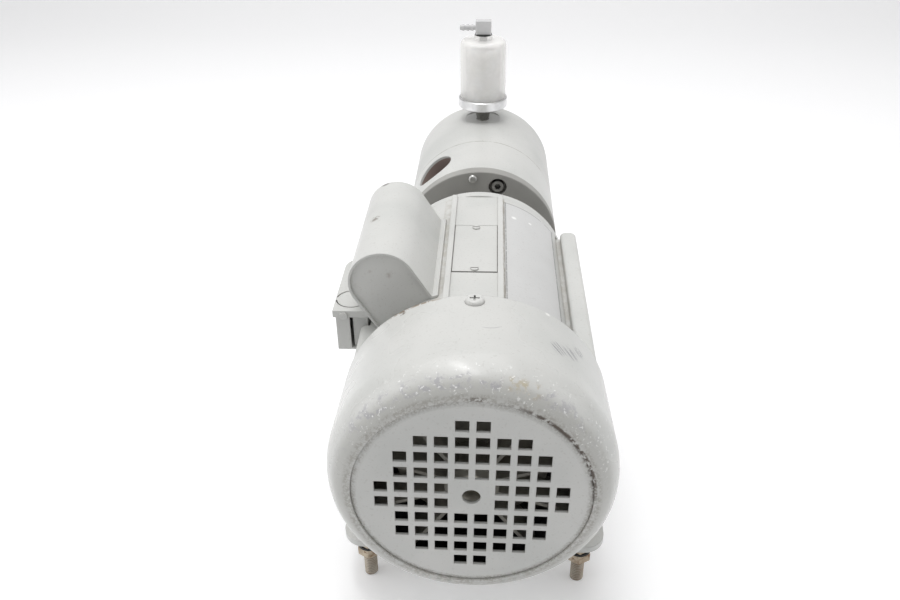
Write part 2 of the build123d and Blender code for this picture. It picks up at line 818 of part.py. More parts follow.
def capacitor_cover():
    front = capacitor_cover_front
    rear = capacitor_cover_rear
    wall = capacitor_cover_wall
    under = Circle(frame_r) + Pos(-pad_x / 2, 0) * Rectangle(pad_x, 2 * pad_half_height)
    outside = capacitor_cover_outline(capacitor_cover_r) - under
    inside = capacitor_cover_outline(capacitor_cover_r - wall) - under
    cover = prism(outside - inside, front, rear)
    for y0 in (front + capacitor_cover_recess, rear - capacitor_cover_recess - wall):
        cover += prism(inside, y0, y0 + wall)
    foot = foot_angle() + degrees(capacitor_cover_flange / frame_r)
    cover += sector(frame_r + wall, frame_r, foot_angle() - 1, foot, front, rear)
    first, last = tab_screw_positions()
    tab = block(-pad_x + pad_corner_r, -half_chord, rear - 2, last + tab_margin, pad_half_height, pad_half_height + wall)
    cover += tab - disc(frame_r, front, last + tab_margin + 1)
    for y in (first, last):
        cover -= upright(tab_screw_r + seat_gap, pad_half_height - 1, pad_half_height + 3, -pad_tab_x, y)
    return cover


def foot_angle():
    """Angle about the shaft at which the right skirt of the capacitor cover meets the frame."""
    lean = radians(cover_lean)
    x = capacitor_x + capacitor_cover_r * cos(lean)
    z = capacitor_z + capacitor_cover_r * sin(lean)
    along = x * sin(lean) - z * cos(lean)
    step = -along - sqrt(along**2 - (x**2 + z**2 - frame_r**2))
    return degrees(atan2(x + step * sin(lean), z - step * cos(lean)))


def capacitor():
    r = capacitor_cover_r - capacitor_cover_wall - capacitor_gap
    front = capacitor_cover_front + capacitor_cover_recess + capacitor_cover_wall + capacitor_gap
    rear = front + capacitor_length
    can = disc(r, front, rear, capacitor_x, capacitor_z)
    can = fillet(can.edges().sort_by(Axis.Y)[0], 1.5)
    width, height, length = capacitor_tab
    for side in (-1, 1):
        x = capacitor_x + side * r / 2.5
        can += block(
            x - width / 2, x + width / 2, rear, rear + length,
            capacitor_z - height / 2, capacitor_z + height / 2,
        )
    return can


def tab_screws():
    top = pad_half_height + capacitor_cover_wall
    screws = []
    for y in tab_screw_positions():
        head = upright(tab_screw_head_r, top, top + tab_screw_head_height, -pad_tab_x, y)
        head = fillet(head.edges().sort_by(Axis.Z)[-1], tab_screw_head_height / 2)
        screws.append(head + upright(tab_screw_r, pad_half_height - 5, top, -pad_tab_x, y))
    return screws


def box_block(inset, z0, z1):
    """A block of the terminal box's plan, drawn in on all sides by inset."""
    plan = block(box_left + inset, box_seat - inset, box_front + inset, box_rear - inset, z0, z1)
    corner = plan.edges().filter_by(Axis.Z).sort_by(Axis.X)[:2].sort_by(Axis.Y)[-1]
    return fillet(corner, box_corner_r - inset)


def terminal_box():
    outset = box_wall + seat_gap
    rim = box_top - box_wall
    pan = box_block(outset, box_bottom, rim) - box_block(outset + box_wall, box_bottom + box_wall, rim + 1)
    face = box_front + outset
    step = block(
        box_seam_x, box_seat - outset - box_wall, face - 1, face + box_wall + 1, box_bottom + box_wall, box_top
    )
    pan -= step
    pan += block(
        box_seam_x + box_seam_width, box_seat - outset, face + box_seam_step, face + box_seam_step + box_wall,
        box_bottom, rim,
    )
    back = box_seat - outset
    pan += block(back - box_wall, box_seat, box_front + 6, box_rear - 6, box_bottom, box_top - box_lip - 0.2)
    for (x, y), side in zip(box_screw_places(), (1, -1)):
        low, high = sorted((y + side * outset, y + side * (outset + 3 * box_wall)))
        pan += block(x - box_ear_width / 2, x + box_ear_width / 2, low, high, rim - box_lip, rim)
        pan -= disc(box_screw_r, y - 4 * box_wall - 1, y + 4 * box_wall + 1, x, box_screw_z)
    return pan


def box_screw_places():
    """Centres of the two lid screws, one in each end wall."""
    return ((box_seam_x - box_ear_width / 2, box_front), (box_seat - box_ear_width, box_rear))


def terminal_box_lid():
    lid = box_block(0, box_top - box_lip, box_top) - box_block(box_wall, box_top - box_lip - 1, box_top - box_wall)
    x = (box_left + box_seat) / 2 - 1
    y = box_front + knockout_set_back
    slit = upright(knockout_r + knockout_slit, box_top - box_wall - 1, box_top + 1, x, y)
    slit -= upright(knockout_r, box_top - box_wall - 2, box_top + 2, x, y)
    tie = block(x - 2 * knockout_r, x + 2 * knockout_r, y - 1.5, y + 1.5, box_top - 4, box_top + 2)
    lid -= slit - tie
    for screw_x, screw_y in box_screw_places():
        low, high = screw_y - box_wall - 1, screw_y + box_wall + 1
        lid -= disc(box_screw_r + box_screw_play, low, high, screw_x, box_screw_z)
    return lid


def terminal_box_screws():
    screws = []
    z = box_screw_z
    for (x, y), side in zip(box_screw_places(), (-1, 1)):
        outside, inside = y + side * box_screw_head_height, y - side * 4 * box_wall
        low, high = sorted((y, outside))
        head = disc(box_screw_head_r, low, high, x, z)
        low, high = sorted((y, inside))
        screws.append(head + disc(box_screw_r, low, high, x, z))
    return screws


def foot(side):
    """One bent foot: a flat plate under the bolts and a web up to the frame."""
    outer = bolt_spacing_x / 2 + foot_margin_x
    half = bolt_spacing_y / 2 + foot_margin_y
    inner = foot_web_x - foot_thickness / 2
    plate = block(inner, outer, -half, half, -foot_to_shaft, -foot_to_shaft + foot_thickness)
    plate = fillet(plate.edges().filter_by(Axis.Z).group_by(Axis.X)[-1], foot_corner_r)
    web_front = shroud_rear + 4
    web = block(inner, inner + foot_thickness, web_front, half, -foot_to_shaft, -frame_r / 3)
    piece = plate + web - disc(frame_r, -half - 1, half + 1)
    piece -= block(pad_x / 2, pad_x, -half - 1, half + 1, -pad_half_height, frame_r)
    for y in (-bolt_spacing_y / 2, bolt_spacing_y / 2):
        piece -= upright(bolt_r + seat_gap, -foot_to_shaft - 1, -foot_to_shaft + 6, bolt_spacing_x / 2, y)
    return piece if side > 0 else mirror(piece, about=Plane.YZ)


def foot_bolt_places():
    half_x, half_y = bolt_spacing_x / 2, bolt_spacing_y / 2
    return [(x, y) for x in (-half_x, half_x) for y in (-half_y, half_y)]


def foot_bolts():
    top = -foot_to_shaft + foot_thickness
    bolts = []
    for x, y in foot_bolt_places():
        head = Pos(x, y, top) * extrude(hexagon(bolt_head_flats), bolt_head_height)
        shank = upright(bolt_r, top - bolt_length, thread_top, x, y)
        shank = chamfer(shank.edges().sort_by(Axis.Z)[0], bolt_chamfer)
        bolts.append(head + upright(bolt_neck_r, thread_top, top, x, y) + shank)
    return bolts


def under_foot(solid, z):
    return [Pos(x, y, z) * solid for x, y in foot_bolt_places()]


def nut():
    body = extrude(hexagon(bolt_head_flats), -nut_height)
    return body - Cylinder(bolt_neck_r, 3 * nut_height)


def washer(r, thickness):
    return Pos(0, 0, -thickness / 2) * (Cylinder(r, thickness) - Cylinder(bolt_r, 2 * thickness))


def foot_washer():
    return washer(washer_r, washer_thickness)


def lock_washer():
    split = Pos(lock_washer_r, 0, 0) * Box(2 * lock_washer_r - bolt_r, lock_washer_split, 4 * lock_washer_thickness)
    return washer(lock_washer_r, lock_washer_thickness) - Rot(0, 0, 60) * split


def adapter():
    neck_front = bell_rear + adapter_flange
    outline = [
        (adapter_flange_r, bell_rear),
        (adapter_flange_r, neck_front),
        (adapter_neck_r, neck_front),
        (adapter_neck_r, lantern_front),
        (pump_r - edge_chamfer, lantern_front),
        (pump_r, lantern_front + edge_chamfer),
        (pump_r, adapter_rear - edge_chamfer / 2),
        (pump_r - edge_chamfer / 2, adapter_rear),
        (adapter_bore_r, adapter_rear),
        (adapter_bore_r, lantern_front),
        (adapter_neck_bore_r, lantern_front - 6),
        (adapter_neck_bore_r, neck_front),
        (adapter_bore_r, bell_rear + 3),
        (adapter_bore_r, bell_rear),
    ]
    piece = turned(outline)
    for x, z in on_circle(flange_screw_circle_r, through_bolt_angles):
        piece -= disc(flange_screw_r + seat_gap, bell_rear - 1, neck_front + 1, x, z)
    for x, z in tie_screw_places():
        piece -= disc(tie_screw_recess_r, lantern_front - 1, lantern_front + tie_screw_recess, x, z)
        piece -= disc(tie_screw_r + seat_gap, lantern_front, adapter_rear + 1, x, z)
    return piece - disc(pin_r, lantern_front - 1, lantern_front + pin_depth, pin_x, pin_z)


def tie_screw_places():
    step = 360 / tie_screw_count
    return on_circle(tie_screw_circle_r, [tie_screw_first_angle + i * step for i in range(tie_screw_count)])


def socket_screw(x, z, seat, head_r, head_height, r, end):
    """Socket head screw along +Y with its head's underside at seat and its tip at end."""
    head = disc(head_r, seat - head_height, seat, x, z)
    head = chamfer(head.edges().sort_by(Axis.Y)[0], 0.4)
    key = prism(Pos(x, z) * hexagon(hex_key_flats), seat - head_height - 1, seat - head_height + hex_key_depth)
    return head - key + disc(r, seat, end, x, z)


def flange_screws():
    seat = bell_rear + adapter_flange
    end = bell_rear - flange_screw_grip
    screws = []
    for x, z in on_circle(flange_screw_circle_r, through_bolt_angles):
        head = disc(flange_screw_head_r, seat, seat + flange_screw_head_height, x, z)
        key = prism(
            Pos(x, z) * hexagon(hex_key_flats), seat + flange_screw_head_height - hex_key_depth,
            seat + flange_screw_head_height + 1,
        )
        screws.append(head - key + disc(flange_screw_r, end, seat, x, z))
    return screws


def tie_screws():
    seat = lantern_front + tie_screw_recess
    end = lantern_rear + tie_screw_grip
    return [
        socket_screw(x, z, seat, tie_screw_head_r, tie_screw_head_height, tie_screw_r, end)
        for x, z in tie_screw_places()
    ]


def locating_pin():
    head = disc(pin_head_r, lantern_front - pin_head_height, lantern_front, pin_x, pin_z)
    head = fillet(head.edges().sort_by(Axis.Y)[0], pin_head_height * 0.8)
    return head + disc(pin_r, lantern_front, lantern_front + pin_depth, pin_x, pin_z)


def lantern_housing():
    outline = [
        (lantern_bore_r, adapter_rear),
        (pump_r - edge_chamfer / 2, adapter_rear),
        (pump_r, adapter_rear + edge_chamfer / 2),
        (pump_r, lantern_rear - edge_chamfer / 2),
        (pump_r - edge_chamfer / 2, lantern_rear),
        (lantern_bore_r, lantern_rear),
    ]
    piece = turned(outline)
    for x, z in tie_screw_places():
        piece -= disc(tie_screw_r + seat_gap, adapter_rear - 1, lantern_rear + 1, x, z)
    window = Cylinder(window_r, pump_r + 1, align=bottom)
    return piece - along_radius(window, window_angle, window_y)


def jaws(first_angle, y0, y1):
    pieces = []
    for index in range(jaw_count):
        start = first_angle + index * 360 / jaw_count
        pieces.append(sector(coupling_r, jaw_inner_r, start, start + jaw_angle, y0, y1))
    return pieces


def coupling_hub(first_angle, face, end, bore_r):
    low, high = sorted((face, end))
    hub = disc(coupling_r, low, high)
    away = 1 if face > end else -1
    tip = face + away * (coupling_gap - jaw_play)
    y0, y1 = sorted((face, tip))
    for jaw in jaws(first_angle, y0, y1):
        hub += jaw
    return hub - disc(bore_r, low - 1, high + 1)


def coupling_spider():
    """Elastic star whose six legs fill the spaces between the jaws of the two hubs."""
    y0, y1 = hub_a_face + jaw_play, hub_b_face - jaw_play
    leg_angle = 180 / jaw_count - jaw_angle
    star = disc(jaw_inner_r - seat_gap, y0, y1)
    for index in range(2 * jaw_count):
        start = jaw_angle + index * 180 / jaw_count
        star += sector(coupling_r - 0.5, jaw_inner_r - 1, start + 0.3, start + leg_angle - 0.3, y0, y1)
    return star


def pump_body():
    outline = [
        (0, lantern_rear),
        (pump_r - edge_chamfer / 2, lantern_rear),
        (pump_r, lantern_rear + edge_chamfer / 2),
        (pump_r, pump_rear - pump_edge_chamfer),
        (pump_r - pump_edge_chamfer, pump_rear),
        (0, pump_rear),
    ]
    body = turned(outline)
    body -= disc(crank_bore_r, crank_front, pump_rear)
    body -= disc(pump_race_outer_r, crank_front - pump_race_width, crank_front + 1)
    body -= disc(pump_shaft_r + 1, lantern_rear - 1, crank_front)
    body -= disc(end_cover_r + seat_gap, end_cover_front, pump_rear + 1)
    body -= upright(pocket_r, clamp_ring_bottom - 2, valve_plate_top)
    body -= upright(valve_port_r, valve_plate_top - 1, spot_face_z, filter_x, inlet_y)
    body -= upright(nipple_r, spot_face_z - nipple_depth, spot_face_z + 1, filter_x, inlet_y)
    body -= upright(spot_face_r, spot_face_z, pump_r + 1, filter_x, inlet_y)
    body -= upright(exhaust_passage_r, valve_plate_top - 1, exhaust_z + 1, valve_offset, rod_y)
    body -= disc(exhaust_passage_r - 0.4, rod_y, pump_rear, valve_offset, exhaust_z)
    body -= disc(exhaust_r, pump_rear - exhaust_length, pump_rear + 1, valve_offset, exhaust_z)
    for x, z in tie_screw_places():
        body -= disc(tie_screw_r, lantern_rear - 1, lantern_rear + tie_screw_grip, x, z)
    for x, z in on_circle(end_cover_screw_circle_r, through_bolt_angles):
        body -= disc(end_cover_screw_r, end_cover_front - end_cover_screw_grip, end_cover_front + 1, x, z)
    for x, y in ring_screw_places():
        body -= upright(ring_screw_r, valve_plate_top - 1, valve_plate_top + ring_screw_grip, x, y)
    return body


def end_cover():
    """Inset cover at the far end, with the boss that holds the rear bearing."""
    cover = disc(end_cover_r, end_cover_front, end_cover_back) + disc(end_boss_r, end_boss_front, end_cover_front)
    cover -= disc(pump_race_outer_r, end_boss_front - 1, end_boss_front + pump_race_width)
    for x, z in on_circle(end_cover_screw_circle_r, through_bolt_angles):
        cover -= disc(end_cover_screw_r + seat_gap, end_cover_front - 1, end_cover_back + 1, x, z)
    return cover


def end_cover_screws():
    screws = []
    for x, z in on_circle(end_cover_screw_circle_r, through_bolt_angles):
        head = disc(end_cover_screw_head_r, end_cover_back, end_cover_back + end_cover_recess, x, z)
        head = fillet(head.edges().sort_by(Axis.Y)[-1], end_cover_recess / 2)
        shank = disc(end_cover_screw_r, end_cover_front - end_cover_screw_grip, end_cover_back, x, z)
        screws.append(head + shank)
    return screws


def pump_shaft():
    rear = end_cover_front + 0.8
    shaft = disc(pump_shaft_r, hub_b_face, rear)
    half = eccentric_width / 2
    return shaft + disc(eccentric_r, rod_y - half, rod_y + half, 0, -throw)


def counterweight():
    y0, y1 = counterweight_front, counterweight_front + counterweight_width
    half = counterweight_half_angle
    collar = ring(pump_shaft_r + 4, pump_shaft_r, y0, y1)
    return sector(counterweight_r, pump_shaft_r, -half, half, y0, y1) + collar


def rod_bush():
    half = big_end_width / 2
    return ring(bush_outer_r, eccentric_r + running_gap, rod_y - half, rod_y + half, 0, -throw)


def connecting_rod():
    half = big_end_width / 2
    width, depth = rod_neck
    neck = block(
        -width / 2, width / 2, rod_y - depth / 2, rod_y + depth / 2, -throw + bush_outer_r + 1, lower_plate_z
    )
    rod = disc(big_end_r, rod_y - half, rod_y + half, 0, -throw) + neck
    rod += upright(rod_neck[0] / 2 + 1.5, lower_plate_z - 2, lower_plate_z)
    rod -= disc(bush_outer_r, rod_y - half - 1, rod_y + half + 1, 0, -throw)
    rod -= upright(clamp_screw_r, upper_plate_z - clamp_screw_length, lower_plate_z + 1)
    return rod


def diaphragm():
    """Moulded disc: a flat clamped edge, one soft convolution and a flat middle on the rod."""
    inner, outer = clamp_plate_r + 1, clamp_ring_bore_r - 0.6
    mid = (inner + outer) / 2
    low, high = hub_diaphragm_z, diaphragm_z
    t = diaphragm_thickness
    edge = pocket_r - seat_gap
    outline = [
        (clamp_screw_r + seat_gap, low),
        (inner, low),
        (mid, (low + high) / 2 - t / 4),
        (outer, high),
        (edge, high),
        (edge, high + t),
        (outer - 1, high + t),
        (mid - 1, (low + high) / 2 + t * 0.75),
        (inner, low + t),
        (clamp_screw_r + seat_gap, low + t),
    ]
    return upright_turned(outline)


def clamp_plate(z):
    plate = upright(clamp_plate_r, z, z + clamp_plate_thickness)
    return plate - upright(clamp_screw_r + seat_gap, z - 1, z + clamp_plate_thickness + 1)


def upper_clamp_plate():
    top = upper_plate_z + clamp_plate_thickness
    sink = [(0, top + 0.1), (clamp_screw_head_r, top + 0.1), (clamp_screw_head_r, top),
            (clamp_screw_r, upper_plate_z), (0, upper_plate_z)]
    return clamp_plate(upper_plate_z) - upright_turned(sink)


def clamp_screw():
    top = upper_plate_z + clamp_plate_thickness
    end = upper_plate_z - clamp_screw_length
    outline = [(0, top), (clamp_screw_head_r - seat_gap, top), (clamp_screw_r, upper_plate_z + seat_gap),
               (clamp_screw_r, end), (0, end)]
    return upright_turned(outline)


def ring_screw_places():
    places = []
    for index in range(ring_screw_count):
        angle = radians((index + 0.5) * 360 / ring_screw_count)
        places.append((ring_screw_circle_r * cos(angle), rod_y + ring_screw_circle_r * sin(angle)))
    return places


def clamp_ring():
    r = pocket_r - seat_gap
    body = upright(r, clamp_ring_bottom, diaphragm_z)
    body -= upright(clamp_ring_bore_r, clamp_ring_bottom - 1, diaphragm_z + 1)
    for x, y in ring_screw_places():
        body -= upright(ring_screw_r + seat_gap, clamp_ring_bottom - 1, diaphragm_z + 1, x, y)
    return body


def diaphragm_with_holes():
    piece = diaphragm()
    for x, y in ring_screw_places():
        piece -= upright(ring_screw_r + seat_gap, diaphragm_z - 1, valve_plate_bottom + 1, x, y)
    return piece


def ring_screws():
    screws = []
    for x, y in ring_screw_places():
        head = upright(
            ring_screw_head_r, clamp_ring_bottom - ring_screw_head_height, clamp_ring_bottom, x, y
        )
        screws.append(head + upright(ring_screw_r, clamp_ring_bottom, valve_plate_top + ring_screw_grip, x, y))
    return screws


def valve_plate():
    plate = upright(pocket_r - seat_gap, valve_plate_bottom, valve_plate_top)
    plate -= upright(chamber_r, valve_plate_bottom - 1, chamber_roof)
    seat = chamber_roof + valve_seat_depth
    plate -= upright(valve_pocket_r, chamber_roof - 1, seat, filter_x, inlet_y)
    plate -= upright(valve_port_r, seat - 1, valve_plate_top + 1, filter_x, inlet_y)
    seat = valve_plate_top - valve_seat_depth
    plate -= upright(valve_pocket_r, seat, valve_plate_top + 1, valve_offset, rod_y)
    plate -= upright(valve_port_r, chamber_roof - 1, seat + 1, valve_offset, rod_y)
    for x, y in ring_screw_places():
        plate -= upright(ring_screw_r + seat_gap, valve_plate_bottom - 1, valve_plate_top + 1, x, y)
    return plate


def valve_disc(z, x, y):
    return upright(valve_disc_r, z, z + valve_disc_thickness, x, y)


def inlet_valve():
    seat = chamber_roof + valve_seat_depth
    return valve_disc(seat - running_gap - valve_disc_thickness, filter_x, inlet_y)


def outlet_valve():
    seat = valve_plate_top - valve_seat_depth
    return valve_disc(seat + running_gap, valve_offset, rod_y)


def valve_retainers():
    """Rings pressed into the valve pockets, which stop the discs."""
    r = valve_pocket_r
    inlet = upright(r, chamber_roof, chamber_roof + retainer_thickness, filter_x, inlet_y)
    inlet -= upright(retainer_bore_r, chamber_roof - 1, valve_plate_top, filter_x, inlet_y)
    low = valve_plate_top - retainer_thickness
    outlet = upright(r, low, valve_plate_top, valve_offset, rod_y)
    outlet -= upright(retainer_bore_r, low - 1, valve_plate_top + 1, valve_offset, rod_y)
    return [inlet, outlet]


def inlet_nipple():
    low = spot_face_z - nipple_depth
    outline = [
        (nipple_bore_r, low),
        (nipple_r, low),
        (nipple_r, spot_face_z),
        (nipple_neck_r, spot_face_z + 0.6),
        (nipple_top_r, base_bottom - 1),
        (nipple_top_r, base_bottom),
        (nipple_bore_r, base_bottom),
    ]
    return upright_turned(outline, filter_x, inlet_y)


def filter_base():
    top = base_bottom + base_height
    floor = base_bottom + base_floor
    outline = [
        (nipple_bore_r, base_bottom),
        (base_r - 0.8, base_bottom),
        (base_r, base_bottom + 0.8),
        (base_r, top - 0.6),
        (base_r - 0.6, top),
        (bowl_r + seat_gap, top),
        (bowl_r + seat_gap, floor),
        (nipple_bore_r, floor),
    ]
    return upright_turned(outline, filter_x, inlet_y)


def bowl_seal():
    z = base_bottom + base_floor + seal_r
    return Pos(filter_x, inlet_y, z) * Torus(bowl_r - seal_r, seal_r)


def filter_bowl():
    """Clear bowl, open at the bottom, with a rounded shoulder and a short neck."""
    def profile(r, shoulder, corner, neck_r, top, low):
        return [
            Line((0, 0, low), (r, 0, low)),
            Line((r, 0, low), (r, 0, shoulder - corner)),
            ThreePointArc(
                (r, 0, shoulder - corner),
                (r - corner * (1 - cos(radians(45))), 0, shoulder - corner * (1 - sin(radians(45)))),
                (r - corner, 0, shoulder),
            ),
            Line((r - corner, 0, shoulder), (neck_r, 0, shoulder)),
            Line((neck_r, 0, shoulder), (neck_r, 0, top)),
            Line((neck_r, 0, top), (0, 0, top)),
            Line((0, 0, top), (0, 0, low)),
        ]
    outside = profile(bowl_r, bowl_shoulder_z, bowl_corner_r, bowl_neck_r, neck_top, bowl_bottom)
    inside = profile(
        bowl_r - bowl_wall, bowl_shoulder_z - bowl_wall, bowl_corner_r - bowl_wall,
        elbow_stem_r, neck_top + 1, bowl_bottom - 1,
    )
    shell = revolve(make_face(outside), Axis.Z) - revolve(make_face(inside), Axis.Z)
    return Pos(filter_x, inlet_y, 0) * shell


def filter_element():
    low = base_bottom + base_floor
    tube = upright(element_r, low, element_top, filter_x, inlet_y)
    tube = fillet(tube.edges().sort_by(Axis.Z)[-1], 1.5)
    return tube - upright(element_bore_r, low - 1, element_top - element_cap, filter_x, inlet_y)


def elbow_washer():
    washer_solid = upright(elbow_washer_r, neck_top, elbow_bottom, filter_x, inlet_y)
    return washer_solid - upright(elbow_stem_r, neck_top - 1, elbow_bottom + 1, filter_x, inlet_y)


def elbow_fitting():
    top = elbow_bottom + elbow_height
    half_width, half_depth = elbow_width / 2, elbow_depth / 2
    body = block(
        filter_x - half_width, filter_x + half_width, inlet_y - half_depth, inlet_y + half_depth,
        elbow_bottom, top,
    )
    body = fillet(body.edges().filter_by(Axis.Z), 1.0)
    body += upright(elbow_stem_r, bowl_shoulder_z - elbow_stem_depth, elbow_bottom, filter_x, inlet_y)
    face = filter_x - half_width
    barb_z = elbow_bottom + barb_rise
    step = barb_length / (barb_ridges + 0.5)
    profile = [(0, 0), (0, barb_core_r), (step / 2, barb_core_r)]
    for index in range(barb_ridges):
        start = step * (index + 0.5)
        profile += [(start, barb_ridge_r), (start + step, barb_core_r)]
    profile.append((barb_length, 0))
    outline = [(-along, r, 0) for along, r in profile]
    barb = revolve(make_face(Polyline(*outline, close=True)), Axis.X)
    body += Pos(face, inlet_y, barb_z) * barb
    body -= upright(elbow_bore_r, bowl_shoulder_z - elbow_stem_depth - 1, barb_z, filter_x, inlet_y)
    bore = Rot(0, -90, 0) * Cylinder(elbow_bore_r, barb_length + half_width + 1, align=bottom)
    return body - Pos(filter_x, inlet_y, barb_z) * bore


def main():
    os.makedirs("parts", exist_ok=True)
    save("fan_shroud", fan_shroud())
    save("grille_plate", grille_plate())
    save("shroud_screws", *shroud_screws())
    save("fan", fan())
    save("fan_end_bell", fan_end_bell())
    save("motor_frame", motor_frame())
    save("top_cover_plate", top_cover_plate())
    save("rating_plate", rating_plate())
    save("pump_end_bell", pump_end_bell())
    save("through_bolts", *through_bolts())
    save("stator_core", stator_core())
    save("stator_windings", stator_windings())
    save("rotor_core", rotor_core())
    save("motor_shaft", motor_shaft())
    save("capacitor_cover", capacitor_cover())
    save("capacitor", capacitor())
    save("terminal_box", terminal_box())
    save("terminal_box_lid", terminal_box_lid())
    save("cover_screws", *top_cover_screws(), *tab_screws(), *terminal_box_screws())
    save("left_foot", foot(-1))
    save("right_foot", foot(1))
    save("foot_bolts", *foot_bolts())
    save("foot_washers", *under_foot(foot_washer(), -foot_to_shaft))
    save("foot_nuts", *under_foot(nut(), upper_nut_z), *under_foot(nut(), lower_nut_z))
    save("lock_washers", *under_foot(lock_washer(), lock_z))
    save("motor_adapter", adapter())
    save("flange_screws", *flange_screws())
    save("tie_screws", *tie_screws())
    save("locating_pin", locating_pin())
    save("lantern_housing", lantern_housing())
    save("motor_coupling_hub", coupling_hub(0, hub_a_face, coupling_front, shaft_r))
    save("pump_coupling_hub", coupling_hub(180 / jaw_count, hub_b_face, hub_b_end, pump_shaft_r))
    save("coupling_spider", coupling_spider())
    save("pump_body", pump_body())
    save("end_cover", end_cover())
    save("end_cover_screws", *end_cover_screws())
    save("pump_shaft", pump_shaft())
    save("counterweight", counterweight())
    rings = [
        bearing(race_bore_r, race_outer_r, race_width, fan_race_front),
        bearing(race_bore_r, race_outer_r, race_width, pump_end_race_front),
        bearing(pump_shaft_r, pump_race_outer_r, pump_race_width, crank_front - pump_race_width),
        bearing(pump_shaft_r, pump_race_outer_r, pump_race_width, end_boss_front),
    ]
    save("bearing_outer_rings", *[outer for outer, _, _ in rings])
    save("bearing_inner_rings", *[inner for _, inner, _ in rings])
    save("bearing_balls", *[ball for _, _, balls in rings for ball in balls])
    save("rod_bush", rod_bush())
    save("connecting_rod", connecting_rod())
    save("diaphragm", diaphragm_with_holes())
    save("clamp_plates", clamp_plate(lower_plate_z), upper_clamp_plate())
    save("clamp_screw", clamp_screw())
    save("clamp_ring", clamp_ring())
    save("clamp_ring_screws", *ring_screws())
    save("valve_plate", valve_plate())
    save("inlet_valve", inlet_valve())
    save("outlet_valve", outlet_valve())
    save("valve_retainers", *valve_retainers())
    save("inlet_nipple", inlet_nipple())
    save("filter_base", filter_base())
    save("bowl_seal", bowl_seal())
    save("filter_bowl", filter_bowl())
    save("filter_element", filter_element())
    save("elbow_washer", elbow_washer())
    save("elbow_fitting", elbow_fitting())


main()
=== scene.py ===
import bpy
import bmesh
import json
from math import cos, pi, radians, sin
from mathutils import Matrix, Vector


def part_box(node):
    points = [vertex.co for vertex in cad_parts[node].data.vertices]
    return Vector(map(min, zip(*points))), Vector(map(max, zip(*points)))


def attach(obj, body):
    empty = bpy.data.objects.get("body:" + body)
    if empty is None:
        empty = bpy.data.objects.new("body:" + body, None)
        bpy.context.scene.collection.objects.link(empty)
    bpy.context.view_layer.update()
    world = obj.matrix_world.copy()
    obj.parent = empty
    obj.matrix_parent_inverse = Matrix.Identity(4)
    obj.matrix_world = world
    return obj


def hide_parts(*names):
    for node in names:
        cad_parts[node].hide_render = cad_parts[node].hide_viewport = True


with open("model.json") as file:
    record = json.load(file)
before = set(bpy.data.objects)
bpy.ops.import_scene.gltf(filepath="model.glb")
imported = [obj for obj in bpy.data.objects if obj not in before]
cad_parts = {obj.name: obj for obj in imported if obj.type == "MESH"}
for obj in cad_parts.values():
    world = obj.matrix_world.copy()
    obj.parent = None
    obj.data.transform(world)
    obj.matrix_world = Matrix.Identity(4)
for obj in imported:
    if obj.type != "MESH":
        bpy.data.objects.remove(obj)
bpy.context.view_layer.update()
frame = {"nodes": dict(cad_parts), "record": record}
nodes = frame["nodes"]
slotOf = {part["node"]: part["material_slot"] for part in frame["record"]["subparts"]}
mm = 0.001
raySamples = 6  # rays that the edge rounding and the crevice test each send

# the shaft line runs along Y, at the height of the motor shaft's own box
shaftLow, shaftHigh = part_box("motor_shaft")
shaftZ = (shaftLow.z + shaftHigh.z) / 2
print("frame loaded, shaft line at", round(shaftZ, 4))


def linear(hexColour):
    channels = [int(hexColour[i:i + 2], 16) / 255 for i in (1, 3, 5)]
    return (*[c / 12.92 if c <= 0.04045 else ((c + 0.055) / 1.055) ** 2.4 for c in channels], 1.0)


def addNode(tree, kind, links=None, out=0, **settings):
    node = tree.nodes.new("ShaderNode" + kind)
    for key, value in settings.items():
        setattr(node, key, value)
    for socket, value in (links or {}).items():
        if isinstance(value, bpy.types.NodeSocket):
            tree.links.new(value, node.inputs[socket])
        else:
            node.inputs[socket].default_value = value
    return node.outputs[out] if len(node.outputs) else node


def newMaterial(name):
    material = bpy.data.materials.new(name)
    material.use_nodes = True
    material.node_tree.nodes.clear()
    return material, material.node_tree


def closeMaterial(tree, links):
    shader = addNode(tree, "BsdfPrincipled", links)
    addNode(tree, "OutputMaterial", {0: shader})


# white paper sweep under soft boxes: plain, pale and evenly lit
studio = {
    "floorSide": 6.0,
    "wallRise": 3.0,
    "bendRadius": 1.0,
    "bendSteps": 12,
    "wallY": 2.2,
    "floorHex": "#F6F6F7",
    "cameraGlow": 0.17,
    "aim": (0.0, 0.05, 0.12),
    "lamps": {
        "topLamp": {"place": (-0.1, 0.35, 1.5), "size": (1.5, 1.3), "watts": 11.5},
        "stripLamp": {"place": (-0.12, 0.0, 1.3), "size": (0.8, 0.06), "watts": 3.0},
        "leftLamp": {"place": (-1.3, -0.2, 0.7), "size": (1.1, 1.1), "watts": 5.0},
        "rightLamp": {"place": (1.3, -0.1, 0.7), "size": (1.1, 1.1), "watts": 3.2},
    },
    "worldStrength": 0.4,
}


